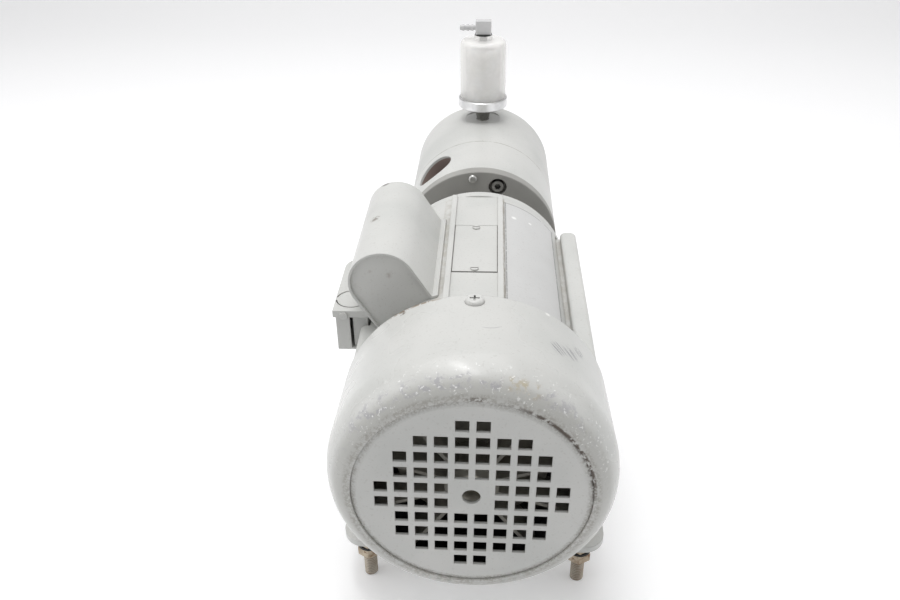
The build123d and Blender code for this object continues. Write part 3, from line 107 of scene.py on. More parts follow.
def buildPaper(spec):
    # a flat floor that bends up into a wall behind, swept from one profile
    bm = bmesh.new()
    half, bend, steps = spec["floorSide"] / 2, spec["bendRadius"], spec["bendSteps"]
    bendY = spec["wallY"] - bend
    profile = [(-half, -half, 0.0), (-half, bendY, 0.0)]
    for i in range(1, steps + 1):
        turn = i / steps * pi / 2
        profile.append((-half, bendY + bend * sin(turn), bend * (1 - cos(turn))))
    profile.append((-half, spec["wallY"], spec["wallRise"]))
    verts = [bm.verts.new(point) for point in profile]
    edges = [bm.edges.new(pair) for pair in zip(verts, verts[1:])]
    grown = bmesh.ops.extrude_edge_only(bm, edges=edges)
    moved = [item for item in grown["geom"] if isinstance(item, bmesh.types.BMVert)]
    bmesh.ops.translate(bm, verts=moved, vec=(spec["floorSide"], 0.0, 0.0))
    bmesh.ops.recalc_face_normals(bm, faces=bm.faces)
    mesh = bpy.data.meshes.new("paperSweep")
    bm.to_mesh(mesh)
    bm.free()
    mesh.polygons.foreach_set("use_smooth", [True] * len(mesh.polygons))

    # the eye, mirrors and clear parts get a little extra glow, so that the paper is white to them
    material, tree = newMaterial("whitePaper")
    diffuse = addNode(tree, "BsdfDiffuse", {0: linear(spec["floorHex"])})
    glow = addNode(tree, "Emission", {0: (1.0, 1.0, 1.0, 1.0), 1: spec["cameraGlow"]})
    rays = addNode(tree, "LightPath").node.outputs
    seen = addNode(
        tree, "Math", {0: rays["Is Camera Ray"], 1: rays["Is Glossy Ray"]}, operation="MAXIMUM")
    seen = addNode(tree, "Math", {0: seen, 1: rays["Is Transmission Ray"]}, operation="MAXIMUM")
    none = addNode(tree, "Emission", {1: 0.0})
    extra = addNode(tree, "MixShader", {0: seen, 1: none, 2: glow})
    addNode(tree, "OutputMaterial", {0: addNode(tree, "AddShader", {0: diffuse, 1: extra})})
    mesh.materials.append(material)
    floor = bpy.data.objects.new("paperSweep", mesh)
    bpy.context.scene.collection.objects.link(floor)


def buildLamps(spec):
    for name, lamp in spec["lamps"].items():
        data = bpy.data.lights.new(name, "AREA")
        data.shape = "RECTANGLE"
        data.size, data.size_y = lamp["size"]
        data.energy = lamp["watts"]
        light = bpy.data.objects.new(name, data)
        light.location = lamp["place"]
        towards = Vector(spec["aim"]) - light.location
        light.rotation_euler = towards.to_track_quat("-Z", "Y").to_euler()
        bpy.context.scene.collection.objects.link(light)

    # the world lights softly, and is plain white where the camera looks straight at it
    world = bpy.data.worlds.new("whiteTent")
    bpy.context.scene.world = world
    world.use_nodes = True
    tree = world.node_tree
    tree.nodes.clear()
    rays = addNode(tree, "LightPath").node.outputs
    strength = addNode(tree, "MapRange", {0: rays["Is Camera Ray"], 3: spec["worldStrength"], 4: 1.0})
    sky = addNode(tree, "Background", {0: (1.0, 1.0, 1.0, 1.0), 1: strength})
    addNode(tree, "OutputWorld", {0: sky})


cameraView = {
    "place": (0.00693, -0.3908, 0.41485),
    "turn": 3.07,
    "tiltDown": 31.95,
    "roll": -0.78,
    "lens": 34.24,
    "sensorWidth": 36.0,
    "clipStart": 0.01,
}


def buildCamera(spec):
    data = bpy.data.cameras.new("viewCamera")
    data.sensor_width = spec["sensorWidth"]
    data.lens = spec["lens"]
    data.clip_start = spec["clipStart"]
    camera = bpy.data.objects.new("viewCamera", data)
    turn = Matrix.Rotation(radians(spec["turn"]), 4, "Z")
    tilt = Matrix.Rotation(radians(90 - spec["tiltDown"]), 4, "X")
    roll = Matrix.Rotation(radians(spec["roll"]), 4, "Z")
    camera.matrix_world = Matrix.Translation(spec["place"]) @ turn @ tilt @ roll
    bpy.context.scene.collection.objects.link(camera)
    bpy.context.scene.camera = camera


buildPaper(studio)
buildLamps(studio)
buildCamera(cameraView)
bpy.context.scene.view_settings.view_transform = "Standard"
print("stage, lamps and camera built")


# In the looks below a noise pattern is (patches to a metre, from, to, detail), a band is (start, end,
# soft edge) in metres, a place is (radius, degrees right of straight up, y, reach), the first and
# third in millimetres, and a paint is (strength, colour).

def noiseMask(tree, coords, perMetre, low, high, detail=3.0, roughness=0.6):
    # 0 to 1 patches, each about 1 / perMetre of a metre across
    noise = addNode(
        tree, "TexNoise",
        {"Vector": coords, "Scale": perMetre, "Detail": detail, "Roughness": roughness})
    return addNode(
        tree, "MapRange", {0: noise, 1: low, 2: high}, interpolation_type="SMOOTHSTEP")


def fromShaft(tree, coords):
    # the way straight out from the shaft line to this point
    centred = addNode(
        tree, "VectorMath", {0: coords, 1: (0.0, 0.0, shaftZ)}, operation="SUBTRACT")
    return addNode(tree, "VectorMath", {0: centred, 1: (1.0, 0.0, 1.0)}, operation="MULTIPLY")


def shaftRadius(tree, coords):
    return addNode(tree, "VectorMath", {0: fromShaft(tree, coords)}, out=1, operation="LENGTH")


def band(tree, value, start, end, soft):
    # 1 between start and end, falling to 0 over soft
    rise = addNode(tree, "MapRange", {0: value, 1: start - soft, 2: start})
    fall = addNode(tree, "MapRange", {0: value, 1: end, 2: end + soft, 3: 1.0, 4: 0.0})
    return addNode(tree, "Math", {0: rise, 1: fall}, operation="MULTIPLY")


def spot(tree, coords, centre, reach, core=0.4):
    # 1 out to that share of the reach, 0 beyond the reach
    away = addNode(tree, "VectorMath", {0: coords, 1: centre}, out=1, operation="DISTANCE")
    return addNode(
        tree, "MapRange", {0: away, 1: reach * core, 2: reach, 3: 1.0, 4: 0.0},
        interpolation_type="SMOOTHSTEP")


def atAngle(r, degreesRight, y):
    turn = radians(degreesRight)
    return (r * sin(turn) * mm, y * mm, shaftZ + r * cos(turn) * mm)


def spotAt(tree, coords, r, degreesRight, y, reach):
    return spot(tree, coords, atAngle(r, degreesRight, y), reach)


def whereAll(tree, first, *others):
    # 1 only where every mask is 1
    for mask in others:
        first = addNode(tree, "Math", {0: first, 1: mask}, operation="MULTIPLY")
    return first


def overlay(tree, colour, mask, strength, hexColour):
    factor = addNode(tree, "Math", {0: mask, 1: strength}, operation="MULTIPLY")
    return addNode(
        tree, "Mix", {0: factor, 6: colour, 7: linear(hexColour)}, out=2, data_type="RGBA")


def creviceShade(tree, reach, clearAt, fullAt):
    # 1 far into a corner or under an edge, 0 in the open: where shade falls, so a colour laid by it
    # is painted shade
    openness = addNode(tree, "AmbientOcclusion", {"Distance": reach}, out=1, samples=raySamples)
    return addNode(tree, "MapRange", {0: openness, 1: clearAt, 2: fullAt})


def edgeWear(tree, roundNormal, clearAt, fullAt):
    # 1 where a rounded edge turns away from its flat face
    flat = addNode(tree, "NewGeometry", out=1)
    same = addNode(
        tree, "VectorMath", {0: roundNormal, 1: flat}, out=1, operation="DOT_PRODUCT")
    return addNode(tree, "MapRange", {0: same, 1: clearAt, 2: fullAt})


# stoving enamel, sprayed and baked on steel and castings: neutral light grey, half gloss, a faint
# orange peel, rounded and rubbed edges, and grey-brown grime with painted shade in every crevice
enamelLook = {
    "base": "#D1D1CE",
    "shade": "#C7C8C5",
    "cloud": (14.0, 0.35, 0.68),       # the grey drifts over about 70 mm
    "dust": "#A9A6A0",
    "grit": (700.0, 0.62, 0.72, 1.0),  # specks 1.4 mm apart, coarser than real dust so that they show
    "gritStrength": 0.22,
    "grimeAndShade": "#7A7166",
    "grimeAndShadePatch": (90.0, 0.25, 0.6),
    "grimeAndShadeReach": 0.003,
    "grimeAndShadeRange": (0.55, 0.1),         # how open a spot is where it is clear, and where it is filled
    "grimeAndShadeStrength": 0.6,
    "edgeRadius": 0.0006,
    "edgeRange": (0.985, 0.9),         # cosine of the rounded edge's turn, unworn and worn
    "rub": (160.0, 0.42, 0.6),
    "rubStrength": 0.35,
    "roughness": 0.34,
    "roughnessSpread": 0.1,
    "peelPerMetre": 900.0,             # orange peel about 1 mm across
    "peelDetail": 2.0,
    "peelDepth": 0.00003,
    "peelStrength": 0.25,
    "ior": 1.5,
}


def greyEnamel(name, look, marks):
    material, tree = newMaterial(name)
    coords = addNode(tree, "TexCoord", out=3)
    cloud = noiseMask(tree, coords, *look["cloud"])
    colour = addNode(
        tree, "Mix", {0: cloud, 6: linear(look["base"]), 7: linear(look["shade"])}, out=2,
        data_type="RGBA")
    grit = noiseMask(tree, coords, *look["grit"])
    colour = overlay(tree, colour, grit, look["gritStrength"], look["dust"])
    roughest = look["roughness"] + look["roughnessSpread"]
    roughness = addNode(tree, "MapRange", {0: cloud, 3: look["roughness"], 4: roughest})
    rounded = addNode(tree, "Bevel", {"Radius": look["edgeRadius"]}, samples=raySamples)
    worn = edgeWear(tree, rounded, *look["edgeRange"])
    rubbed = whereAll(tree, worn, noiseMask(tree, coords, *look["rub"]))
    colour = overlay(tree, colour, rubbed, look["rubStrength"], look["dust"])
    # painted shade with grime: grey-brown laid in patches wherever the crevice test finds shade
    hollowShade = creviceShade(tree, look["grimeAndShadeReach"], *look["grimeAndShadeRange"])
    dirt = whereAll(tree, hollowShade, noiseMask(tree, coords, *look["grimeAndShadePatch"]))
    colour = overlay(tree, colour, dirt, look["grimeAndShadeStrength"], look["grimeAndShade"])
    for mark in marks:
        colour, roughness = mark(tree, coords, colour, roughness)
    peel = addNode(
        tree, "TexNoise",
        {"Vector": coords, "Scale": look["peelPerMetre"], "Detail": look["peelDetail"]})
    bump = addNode(tree, "Bump", {
        "Strength": look["peelStrength"], "Distance": look["peelDepth"], "Height": peel,
        "Normal": rounded})
    closeMaterial(tree, {
        "Base Color": colour, "Roughness": roughness, "Normal": bump, "IOR": look["ior"]})
    return material


# oily brown dirt packed into the joint round the grille, thickest from one to three o'clock
rimLook = {
    "front": (-0.110, -0.094, 0.001),
    "ring": (0.0560, 0.0600, 0.0018),
    "packedRing": (0.0568, 0.0583, 0.0008),
    "topRing": (0.0572, 0.0592, 0.0005),
    "ragged": (300.0, 0.38, 0.52, 6.0),
    "fine": (900.0, 0.4, 0.56, 4.0),
    "packedPlace": (58, 54, -98, 0.048),
    "topPlace": (58.5, 2, -100, 0.006),
    "mottle": (0.5, "#8F8A80"),
    "packed": (0.97, "#4A3E33"),
    "top": (0.7, "#5C554C"),
}


def rimGrime(tree, coords, colour, roughness):
    radius = shaftRadius(tree, coords)
    along = addNode(tree, "SeparateXYZ", {0: coords}, out=1)
    front = band(tree, along, *rimLook["front"])
    ragged = noiseMask(tree, coords, *rimLook["ragged"])
    fine = noiseMask(tree, coords, *rimLook["fine"])
    mottle = whereAll(tree, band(tree, radius, *rimLook["ring"]), front, ragged, fine)
    colour = overlay(tree, colour, mottle, *rimLook["mottle"])
    heavy = spotAt(tree, coords, *rimLook["packedPlace"])
    packed = whereAll(tree, band(tree, radius, *rimLook["packedRing"]), front, heavy, ragged)
    colour = overlay(tree, colour, packed, *rimLook["packed"])
    topRing = band(tree, radius, *rimLook["topRing"])
    top = whereAll(tree, spotAt(tree, coords, *rimLook["topPlace"]), topRing, fine)
    return overlay(tree, colour, top, *rimLook["top"]), roughness


# the nose has been stood on and slid about: chips to the pale primer and lilac-grey rub marks
noseLook = {
    "ring": (0.0642, 0.0672, 0.0016),
    "ringAlong": (-0.101, -0.084, 0.002),
    "wide": (0.0615, 0.0690, 0.002),
    "wideAlong": (-0.101, -0.080, 0.002),
    # the next three set a band of painted shade over the forward-facing front of the nose
    "noseShadeRing": (0.0595, 0.0650, 0.0025),
    "noseShadeAlong": (-0.101, -0.088, 0.002),
    "rubs": (240.0, 0.47, 0.6, 8.0),
    "chips": (620.0, 0.57, 0.63, 4.0),
    "upperPlace": (66, -6, -94, 0.088),
    "yellowPlace": (66, 20, -92, 0.012),
    "rightPlace": (66, 62, -94, 0.026),
    "noseShade": (0.35, "#A09F98"),
    "lilac": (0.62, "#A3A2A8"),
    "yellow": (0.6, "#C4B894"),
    "primer": (0.85, "#F4F4F2"),
    "rightPrimer": (0.7, "#F0F0EE"),
    "rubbedRoughness": 0.6,
}


def noseScuffs(tree, coords, colour, roughness):
    radius = shaftRadius(tree, coords)
    along = addNode(tree, "SeparateXYZ", {0: coords}, out=1)
    ring, wide, noseShade = [
        whereAll(tree, band(tree, radius, *noseLook[r]), band(tree, along, *noseLook[y]))
        for r, y in (("ring", "ringAlong"), ("wide", "wideAlong"), ("noseShadeRing", "noseShadeAlong"))]
    upper = spotAt(tree, coords, *noseLook["upperPlace"])
    rubs = noiseMask(tree, coords, *noseLook["rubs"])
    chips = noiseMask(tree, coords, *noseLook["chips"])
    # painted shade over the front of the nose
    colour = overlay(tree, colour, noseShade, *noseLook["noseShade"])
    rubbed = whereAll(tree, ring, upper, rubs)
    colour = overlay(tree, colour, rubbed, *noseLook["lilac"])
    yellow = whereAll(tree, ring, spotAt(tree, coords, *noseLook["yellowPlace"]), rubs)
    colour = overlay(tree, colour, yellow, *noseLook["yellow"])
    colour = overlay(tree, colour, whereAll(tree, wide, upper, chips, rubs), *noseLook["primer"])
    right = whereAll(tree, spotAt(tree, coords, *noseLook["rightPlace"]), chips, rubs)
    colour = overlay(tree, colour, right, *noseLook["rightPrimer"])
    roughness = addNode(tree, "Mix", {0: rubbed, 2: roughness, 3: noseLook["rubbedRoughness"]})
    return colour, roughness


# three patches of short parallel scrapes on the right of the shroud
scrapeLook = {
    "across": (0.534, 0.707, -0.464),
    "linesPerMetre": 900.0,            # a scrape about each millimetre
    "lineDetail": 2.0,
    "lineRange": (0.5, 0.56),
    "broken": (500.0, 0.3, 0.45),
    "places": ((71, 34.9, -58.3, 0.0062), (71, 41.2, -55.5, 0.006), (71, 46.4, -48.2, 0.0045)),
    "paint": (0.95, "#7F7D84"),
}


def strokes(tree, coords, colour, roughness):
    step = addNode(
        tree, "VectorMath", {0: coords, 1: scrapeLook["across"]}, out=1, operation="DOT_PRODUCT")
    step = addNode(tree, "Math", {0: step, 1: scrapeLook["linesPerMetre"]}, operation="MULTIPLY")
    lines = addNode(
        tree, "TexNoise", {"W": step, "Scale": 1.0, "Detail": scrapeLook["lineDetail"]},
        noise_dimensions="1D")
    lineFrom, lineTo = scrapeLook["lineRange"]
    lines = addNode(tree, "MapRange", {0: lines, 1: lineFrom, 2: lineTo})
    lines = whereAll(tree, lines, noiseMask(tree, coords, *scrapeLook["broken"]))
    for place in scrapeLook["places"]:
        patch = whereAll(tree, spotAt(tree, coords, *place), lines)
        colour = overlay(tree, colour, patch, *scrapeLook["paint"])
    return colour, roughness


# one curved knock near the top
arcLook = {
    "centre": (71, 5, -50),
    "line": (0.0098, 0.0103, 0.0003),
    "place": (71, 7, -59.5, 0.006),
    "paint": (0.5, "#A9A7A9"),
}


def arcScratch(tree, coords, colour, roughness):
    centre = atAngle(*arcLook["centre"])
    away = addNode(tree, "VectorMath", {0: coords, 1: centre}, out=1, operation="DISTANCE")
    line = band(tree, away, *arcLook["line"])
    arc = whereAll(tree, line, spotAt(tree, coords, *arcLook["place"]))
    return overlay(tree, colour, arc, *arcLook["paint"]), roughness


# enamel peeled from the open edge at the back, down to tan primer, and two chips
peelLook = {
    "edge": (-0.0316, -0.030, 0.0006),
    "ragged": (420.0, 0.4, 0.5, 5.0),
    "peeledPlace": (70, -26, -31, 0.018),
    "darkPlace": (70.5, -31, -33, 0.0026),
    "palePlace": (70.6, 31.2, -31.5, 0.002),
    "peeled": (0.9, "#8A7863"),
    "darkChip": (0.9, "#5E4F41"),
    "paleChip": (0.8, "#F0EFEC"),
}


def peeledRim(tree, coords, colour, roughness):
    along = addNode(tree, "SeparateXYZ", {0: coords}, out=1)
    edge = band(tree, along, *peelLook["edge"])
    ragged = noiseMask(tree, coords, *peelLook["ragged"])
    peeled = whereAll(tree, edge, spotAt(tree, coords, *peelLook["peeledPlace"]), ragged)
    colour = overlay(tree, colour, peeled, *peelLook["peeled"])
    darkChip = whereAll(tree, spotAt(tree, coords, *peelLook["darkPlace"]), ragged)
    colour = overlay(tree, colour, darkChip, *peelLook["darkChip"])
    paleChip = spotAt(tree, coords, *peelLook["palePlace"])
    return overlay(tree, colour, paleChip, *peelLook["paleChip"]), roughness


# the inside is painted near black as shade, darkest over its lower half
insideShadeLook = {
    "facesInBelow": -0.001,
    "fadeTop": 0.03,                   # height over the shaft line, as is the next
    "fadeBottom": -0.01,
    "topShare": 0.35,
    "lipFront": -0.0965,
    "lipBack": -0.0955,
    "paint": (0.97, "#1B1B1A"),
}


def shroudInsideShade(tree, coords, colour, roughness):
    normal = addNode(tree, "NewGeometry", out=1)
    facing = addNode(
        tree, "VectorMath", {0: normal, 1: fromShaft(tree, coords)}, out=1,
        operation="DOT_PRODUCT")
    inside = addNode(
        tree, "Math", {0: facing, 1: insideShadeLook["facesInBelow"]}, operation="LESS_THAN")
    place = addNode(tree, "SeparateXYZ", {0: coords}).node.outputs
    top, bottom = shaftZ + insideShadeLook["fadeTop"], shaftZ + insideShadeLook["fadeBottom"]
    low = addNode(
        tree, "MapRange", {0: place["Z"], 1: top, 2: bottom, 3: insideShadeLook["topShare"], 4: 1.0})
    behind = addNode(
        tree, "MapRange", {0: place["Y"], 1: insideShadeLook["lipFront"], 2: insideShadeLook["lipBack"]})
    insideShade = whereAll(tree, inside, low, behind)
    return overlay(tree, colour, insideShade, *insideShadeLook["paint"]), roughness


# behind the fan the casting is painted near black as shade, blackest at the bottom
bellShadeLook = {
    "fadeTop": 0.045,                  # height over the shaft line, as is the next
    "fadeBottom": -0.005,
    "topShare": 0.3,
    "openAt": -0.0335,
    "hiddenAt": -0.036,
    "paint": (0.95, "#191918"),
}


def bellShade(tree, coords, colour, roughness):
    place = addNode(tree, "SeparateXYZ", {0: coords}).node.outputs
    top, bottom = shaftZ + bellShadeLook["fadeTop"], shaftZ + bellShadeLook["fadeBottom"]
    low = addNode(
        tree, "MapRange", {0: place["Z"], 1: top, 2: bottom, 3: bellShadeLook["topShare"], 4: 1.0})
    hidden = addNode(
        tree, "MapRange", {0: place["Y"], 1: bellShadeLook["openAt"], 2: bellShadeLook["hiddenAt"]})
    return overlay(tree, colour, whereAll(tree, low, hidden), *bellShadeLook["paint"]), roughness


# faint brown stains and knocks on the capacitor cover; places are x, y, height over the shaft, reach
coverLook = {
    "stainPatch": (75.0, 0.6, 0.72),
    "stainBand": (-0.011, -0.0045, 0.001),
    "stain": (0.3, "#84705F"),
    "blotPlaces": ((-0.0552, -0.0085, 0.0688, 0.0022), (-0.0455, -0.0085, 0.0666, 0.0028)),
    "blotPatch": (300.0, 0.3, 0.6),
    "blot": (0.5, "#7A6458"),
    "crownPlace": (-0.0562, 0.0815, 0.0787, 0.0035),
    "crown": (0.75, "#4F4A45"),
    "sidePlace": (-0.0572, 0.0357, 0.0782, 0.004),
    "sidePatch": (420.0, 0.45, 0.55),
    "side": (0.8, "#7C736B"),
}


def spotOver(tree, coords, x, y, overShaft, reach):
    return spot(tree, coords, (x, y, shaftZ + overShaft), reach)


def coverSpots(tree, coords, colour, roughness):
    along = addNode(tree, "SeparateXYZ", {0: coords}, out=1)
    patches = noiseMask(tree, coords, *coverLook["stainPatch"])
    stains = whereAll(tree, patches, band(tree, along, *coverLook["stainBand"]))
    colour = overlay(tree, colour, stains, *coverLook["stain"])
    for place in coverLook["blotPlaces"]:
        patches = noiseMask(tree, coords, *coverLook["blotPatch"])
        blot = whereAll(tree, spotOver(tree, coords, *place), patches)
        colour = overlay(tree, colour, blot, *coverLook["blot"])
    crown = spotOver(tree, coords, *coverLook["crownPlace"])
    colour = overlay(tree, colour, crown, *coverLook["crown"])
    patches = noiseMask(tree, coords, *coverLook["sidePatch"])
    knock = whereAll(tree, spotOver(tree, coords, *coverLook["sidePlace"]), patches)
    return overlay(tree, colour, knock, *coverLook["side"]), roughness


# a blank plate with a thin dark border line just inside its edge, and two chips in its surface
plateLook = {
    "inset": 0.0006,
    "width": 0.0004,
    "softAcross": 0.0002,
    "softAlong": 0.0003,
    "wornPatch": (300.0, 0.25, 0.5),
    "line": (0.75, "#6A6967"),
    "chipPlaces": ((0.0216, 0.0865, 0.0542, 0.0022), (0.0318, 0.0889, 0.049, 0.0016)),
    "chip": (0.85, "#F4F4F3"),
}


def plateBorder(tree, coords, colour, roughness):
    low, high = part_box("rating_plate")
    across, along, _ = addNode(tree, "SeparateXYZ", {0: coords}).node.outputs
    inset, width = plateLook["inset"], plateLook["width"]
    worn = noiseMask(tree, coords, *plateLook["wornPatch"])
    for value, start, end, soft in (
            (across, low.x, high.x, plateLook["softAcross"]),
            (along, low.y, high.y, plateLook["softAlong"])):
        for lineStart, lineEnd in (
                (start + inset, start + inset + width), (end - inset - width, end - inset)):
            line = whereAll(tree, band(tree, value, lineStart, lineEnd, soft), worn)
            colour = overlay(tree, colour, line, *plateLook["line"])
    for place in plateLook["chipPlaces"]:
        colour = overlay(tree, colour, spotOver(tree, coords, *place), *plateLook["chip"])
    return colour, roughness


# the seam between lantern and pump has weathered to a thin ochre-grey line
seamLook = {
    "halfWidth": 0.0004,
    "soft": 0.0002,
    "wornPatch": (120.0, 0.3, 0.6, 4.0),
    "paint": (0.6, "#8B8679"),
}


def jointLine(tree, coords, colour, roughness):
    along = addNode(tree, "SeparateXYZ", {0: coords}, out=1)
    seam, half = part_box("pump_body")[0].y, seamLook["halfWidth"]
    worn = noiseMask(tree, coords, *seamLook["wornPatch"])
    line = whereAll(tree, band(tree, along, seam - half, seam + half, seamLook["soft"]), worn)
    return overlay(tree, colour, line, *seamLook["paint"]), roughness


# the front edge of the cover plate is painted dark as shade
plateEdgeShadeLook = {"before": 0.001, "behind": 0.0005, "soft": 0.0002, "paint": (0.85, "#45423E")}


def plateEdgeShade(tree, coords, colour, roughness):
    along = addNode(tree, "SeparateXYZ", {0: coords}, out=1)
    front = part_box("top_cover_plate")[0].y
    edge = band(
        tree, along, front - plateEdgeShadeLook["before"], front + plateEdgeShadeLook["behind"],
        plateEdgeShadeLook["soft"])
    return overlay(tree, colour, edge, *plateEdgeShadeLook["paint"]), roughness


# the lantern is enamelled outside only: inside it is bare, brown-stained casting
lanternLook = {
    "enamelFrom": 0.0405,
    "bareTo": 0.0385,
    "bare": (1.0, "#5A4A44"),
    "rustPatch": (110.0, 0.4, 0.6),
    "rust": (0.7, "#8A665A"),
    "wallFrom": 0.0385,
    "wallFull": 0.041,
    "wallBand": (0.039, 0.0525, 0.0004),
    "wall": (0.85, "#7E6860"),
}


def windowBore(tree, coords, colour, roughness):
    radius = shaftRadius(tree, coords)
    inside = addNode(
        tree, "MapRange", {0: radius, 1: lanternLook["enamelFrom"], 2: lanternLook["bareTo"]})
    colour = overlay(tree, colour, inside, *lanternLook["bare"])
    rusty = whereAll(tree, inside, noiseMask(tree, coords, *lanternLook["rustPatch"]))
    wall = addNode(
        tree, "MapRange", {0: radius, 1: lanternLook["wallFrom"], 2: lanternLook["wallFull"]})
    wall = whereAll(tree, wall, band(tree, radius, *lanternLook["wallBand"]))
    colour = overlay(tree, colour, wall, *lanternLook["wall"])
    return overlay(tree, colour, rusty, *lanternLook["rust"]), roughness


# tan-brown dirt in the groove beside each rib and under the capacitor cover
channelLook = {
    "grooves": ((-0.0215, -0.0174, 0.35), (0.0148, 0.0156, 0.5), (0.0490, 0.0526, 0.25)),
    "soft": 0.0005,
    "ragged": (160.0, 0.35, 0.6, 5.0),
    "dirt": "#9A9180",
}


def channelGrime(tree, coords, colour, roughness):
    across = addNode(tree, "SeparateXYZ", {0: coords}, out=0)
    ragged = noiseMask(tree, coords, *channelLook["ragged"])
    for start, end, strength in channelLook["grooves"]:
        groove = whereAll(tree, band(tree, across, start, end, channelLook["soft"]), ragged)
        colour = overlay(tree, colour, groove, strength, channelLook["dirt"])
    return colour, roughness


# each enamelled finish: what differs from the common look, and its own marks
enamels = {
    "greyEnamel": ({}, ()),
    "scuffedShroudEnamel": (  # a pressing with a smoother, glossier coat, knocked about
        {"roughness": 0.24}, (noseScuffs, strokes, arcScratch, peeledRim, rimGrime, shroudInsideShade)),
    "grilleEnamel": ({}, (rimGrime,)),
    "shadedBellEnamel": ({}, (bellShade,)),
    "capacitorCoverEnamel": ({}, (coverSpots,)),
    "lanternEnamel": ({}, (windowBore, jointLine)),
    "pumpBodyEnamel": ({}, (jointLine,)),
    "coverPlateEnamel": ({}, (plateEdgeShade,)),
    "ribbedFrameEnamel": ({}, (channelGrime,)),
    "shadowedFaceEnamel": (  # a face in shadow behind the motor: the grey darkened as painted shade, and duller
        {"base": "#A6A5A1", "shade": "#979692", "roughness": 0.45}, ()),
    "paintedOverScrew": (  # painted with the housing, its slot darkened near black by painted shade and dirt
        {"grimeAndShade": "#2E2823", "grimeAndShadeReach": 0.0014, "grimeAndShadeStrength": 0.95}, ()),
    "printedLabelEnamel": (  # a flat sheet with an even coat
        {"base": "#D0D0CF", "shade": "#CBCBCA"}, (plateBorder,)),
}

# turned, ground or plated metal: fine tool lines give a soft streaked gloss; the real lines are
# finer, and these are 0.7 mm apart so that they show
plainMetal = {
    "metallic": 1.0,
    "blotch": (120.0, 0.35, 0.7),
    "roughnessSpread": 0.14,
    "rustSpread": 0.12,
    "rustDetail": 5.0,
    "rustStrength": 0.85,
    "paintedShadeStrength": 0.95,
    "linesPerMetre": 1400.0,
    "lineDetail": 2.0,
    "lineDepth": 0.00002,
    "lineStrength": 0.2,
}
metals = {
    # zinc plate gone dull: warm grey with a soft gloss
    "dulledZincSteel": {"base": "#A9A59C", "shade": "#857F73", "roughness": 0.38},
    # zinc plate worn through: tan, with brown rust in patches of 3 mm
    "tarnishedZincSteel": {
        "base": "#CABDA9", "shade": "#A69581", "roughness": 0.5, "metallic": 0.45,
        "rust": "#7C5A3E", "rustPerMetre": 380.0, "rustFrom": 0.52},
    # black oxide on steel: near black, oily sheen
    "blackOxideSteel": {"base": "#2A2A2A", "shade": "#1C1C1C", "roughness": 0.42, "metallic": 0.6},
    # aluminium off the lathe: bright and clean
    "turnedAluminium": {"base": "#E3E3E3", "shade": "#D2D2D2", "roughness": 0.28},
    # ground and lapped bearing steel: the brightest gloss
    "groundBearingSteel": {"base": "#C9C9CB", "shade": "#B5B5B8", "roughness": 0.18},
    # stacked electrical sheet: dull blue-grey
    "laminatedSteel": {"base": "#6C6E72", "shade": "#53565A", "roughness": 0.5},
    # varnished winding wire: orange-brown
    "enamelledCopperWire": {"base": "#B5673A", "shade": "#8D4A26", "roughness": 0.4},
    # grey iron as cast: dark and matt
    "castIron": {"base": "#5B5B5A", "shade": "#474746", "roughness": 0.6},
    # bare steel kept bright by handling
    "brightPinSteel": {"base": "#D6D6D4", "shade": "#C2C2C0", "roughness": 0.35},
    # bare steel gone grey
    "dulledNippleSteel": {"base": "#8F8E8A", "shade": "#787772", "roughness": 0.5},
    # worn socket screws: grey, with painted shade near black down in the socket
    "wornSocketScrewSteel": {
        "base": "#A6A5A1", "shade": "#8C8B87", "roughness": 0.5, "metallic": 0.5,
        "paintedDeepShade": "#0C0C0C", "paintedShadeReach": 0.004, "paintedShadeRange": (0.7, 0.2)},
    # rolled threads: pale tan crests, and painted shade in dark brown down the roots
    "tarnishedThreadSteel": {
        "base": "#CFC6B8", "shade": "#BDB0A0", "roughness": 0.45, "metallic": 0.4,
        "rust": "#9C846C", "rustPerMetre": 300.0, "rustFrom": 0.58,
        "paintedDeepShade": "#3B3027", "paintedShadeReach": 0.0012, "paintedShadeRange": (0.92, 0.45)},
}


def machinedMetal(name, look):
    material, tree = newMaterial(name)
    coords = addNode(tree, "TexCoord", out=3)
    blotch = noiseMask(tree, coords, *look["blotch"])
    colour = addNode(
        tree, "Mix", {0: blotch, 6: linear(look["base"]), 7: linear(look["shade"])}, out=2,
        data_type="RGBA")
    if "rust" in look:
        rust = noiseMask(
            tree, coords, look["rustPerMetre"], look["rustFrom"],
            look["rustFrom"] + look["rustSpread"], look["rustDetail"])
        colour = overlay(tree, colour, rust, look["rustStrength"], look["rust"])
    # painted shade: a dark colour laid in hollows where the crevice test finds shade
    if "paintedDeepShade" in look:
        hollowShade = creviceShade(tree, look["paintedShadeReach"], *look["paintedShadeRange"])
        colour = overlay(tree, colour, hollowShade, look["paintedShadeStrength"], look["paintedDeepShade"])
    roughest = look["roughness"] + look["roughnessSpread"]
    roughness = addNode(tree, "MapRange", {0: blotch, 3: look["roughness"], 4: roughest})
    lines = addNode(
        tree, "TexNoise",
        {"Vector": coords, "Scale": look["linesPerMetre"], "Detail": look["lineDetail"]})
    bump = addNode(tree, "Bump", {
        "Strength": look["lineStrength"], "Distance": look["lineDepth"], "Height": lines})
    closeMaterial(tree, {
        "Base Color": colour, "Roughness": roughness, "Metallic": look["metallic"],
        "Normal": bump})
    return material


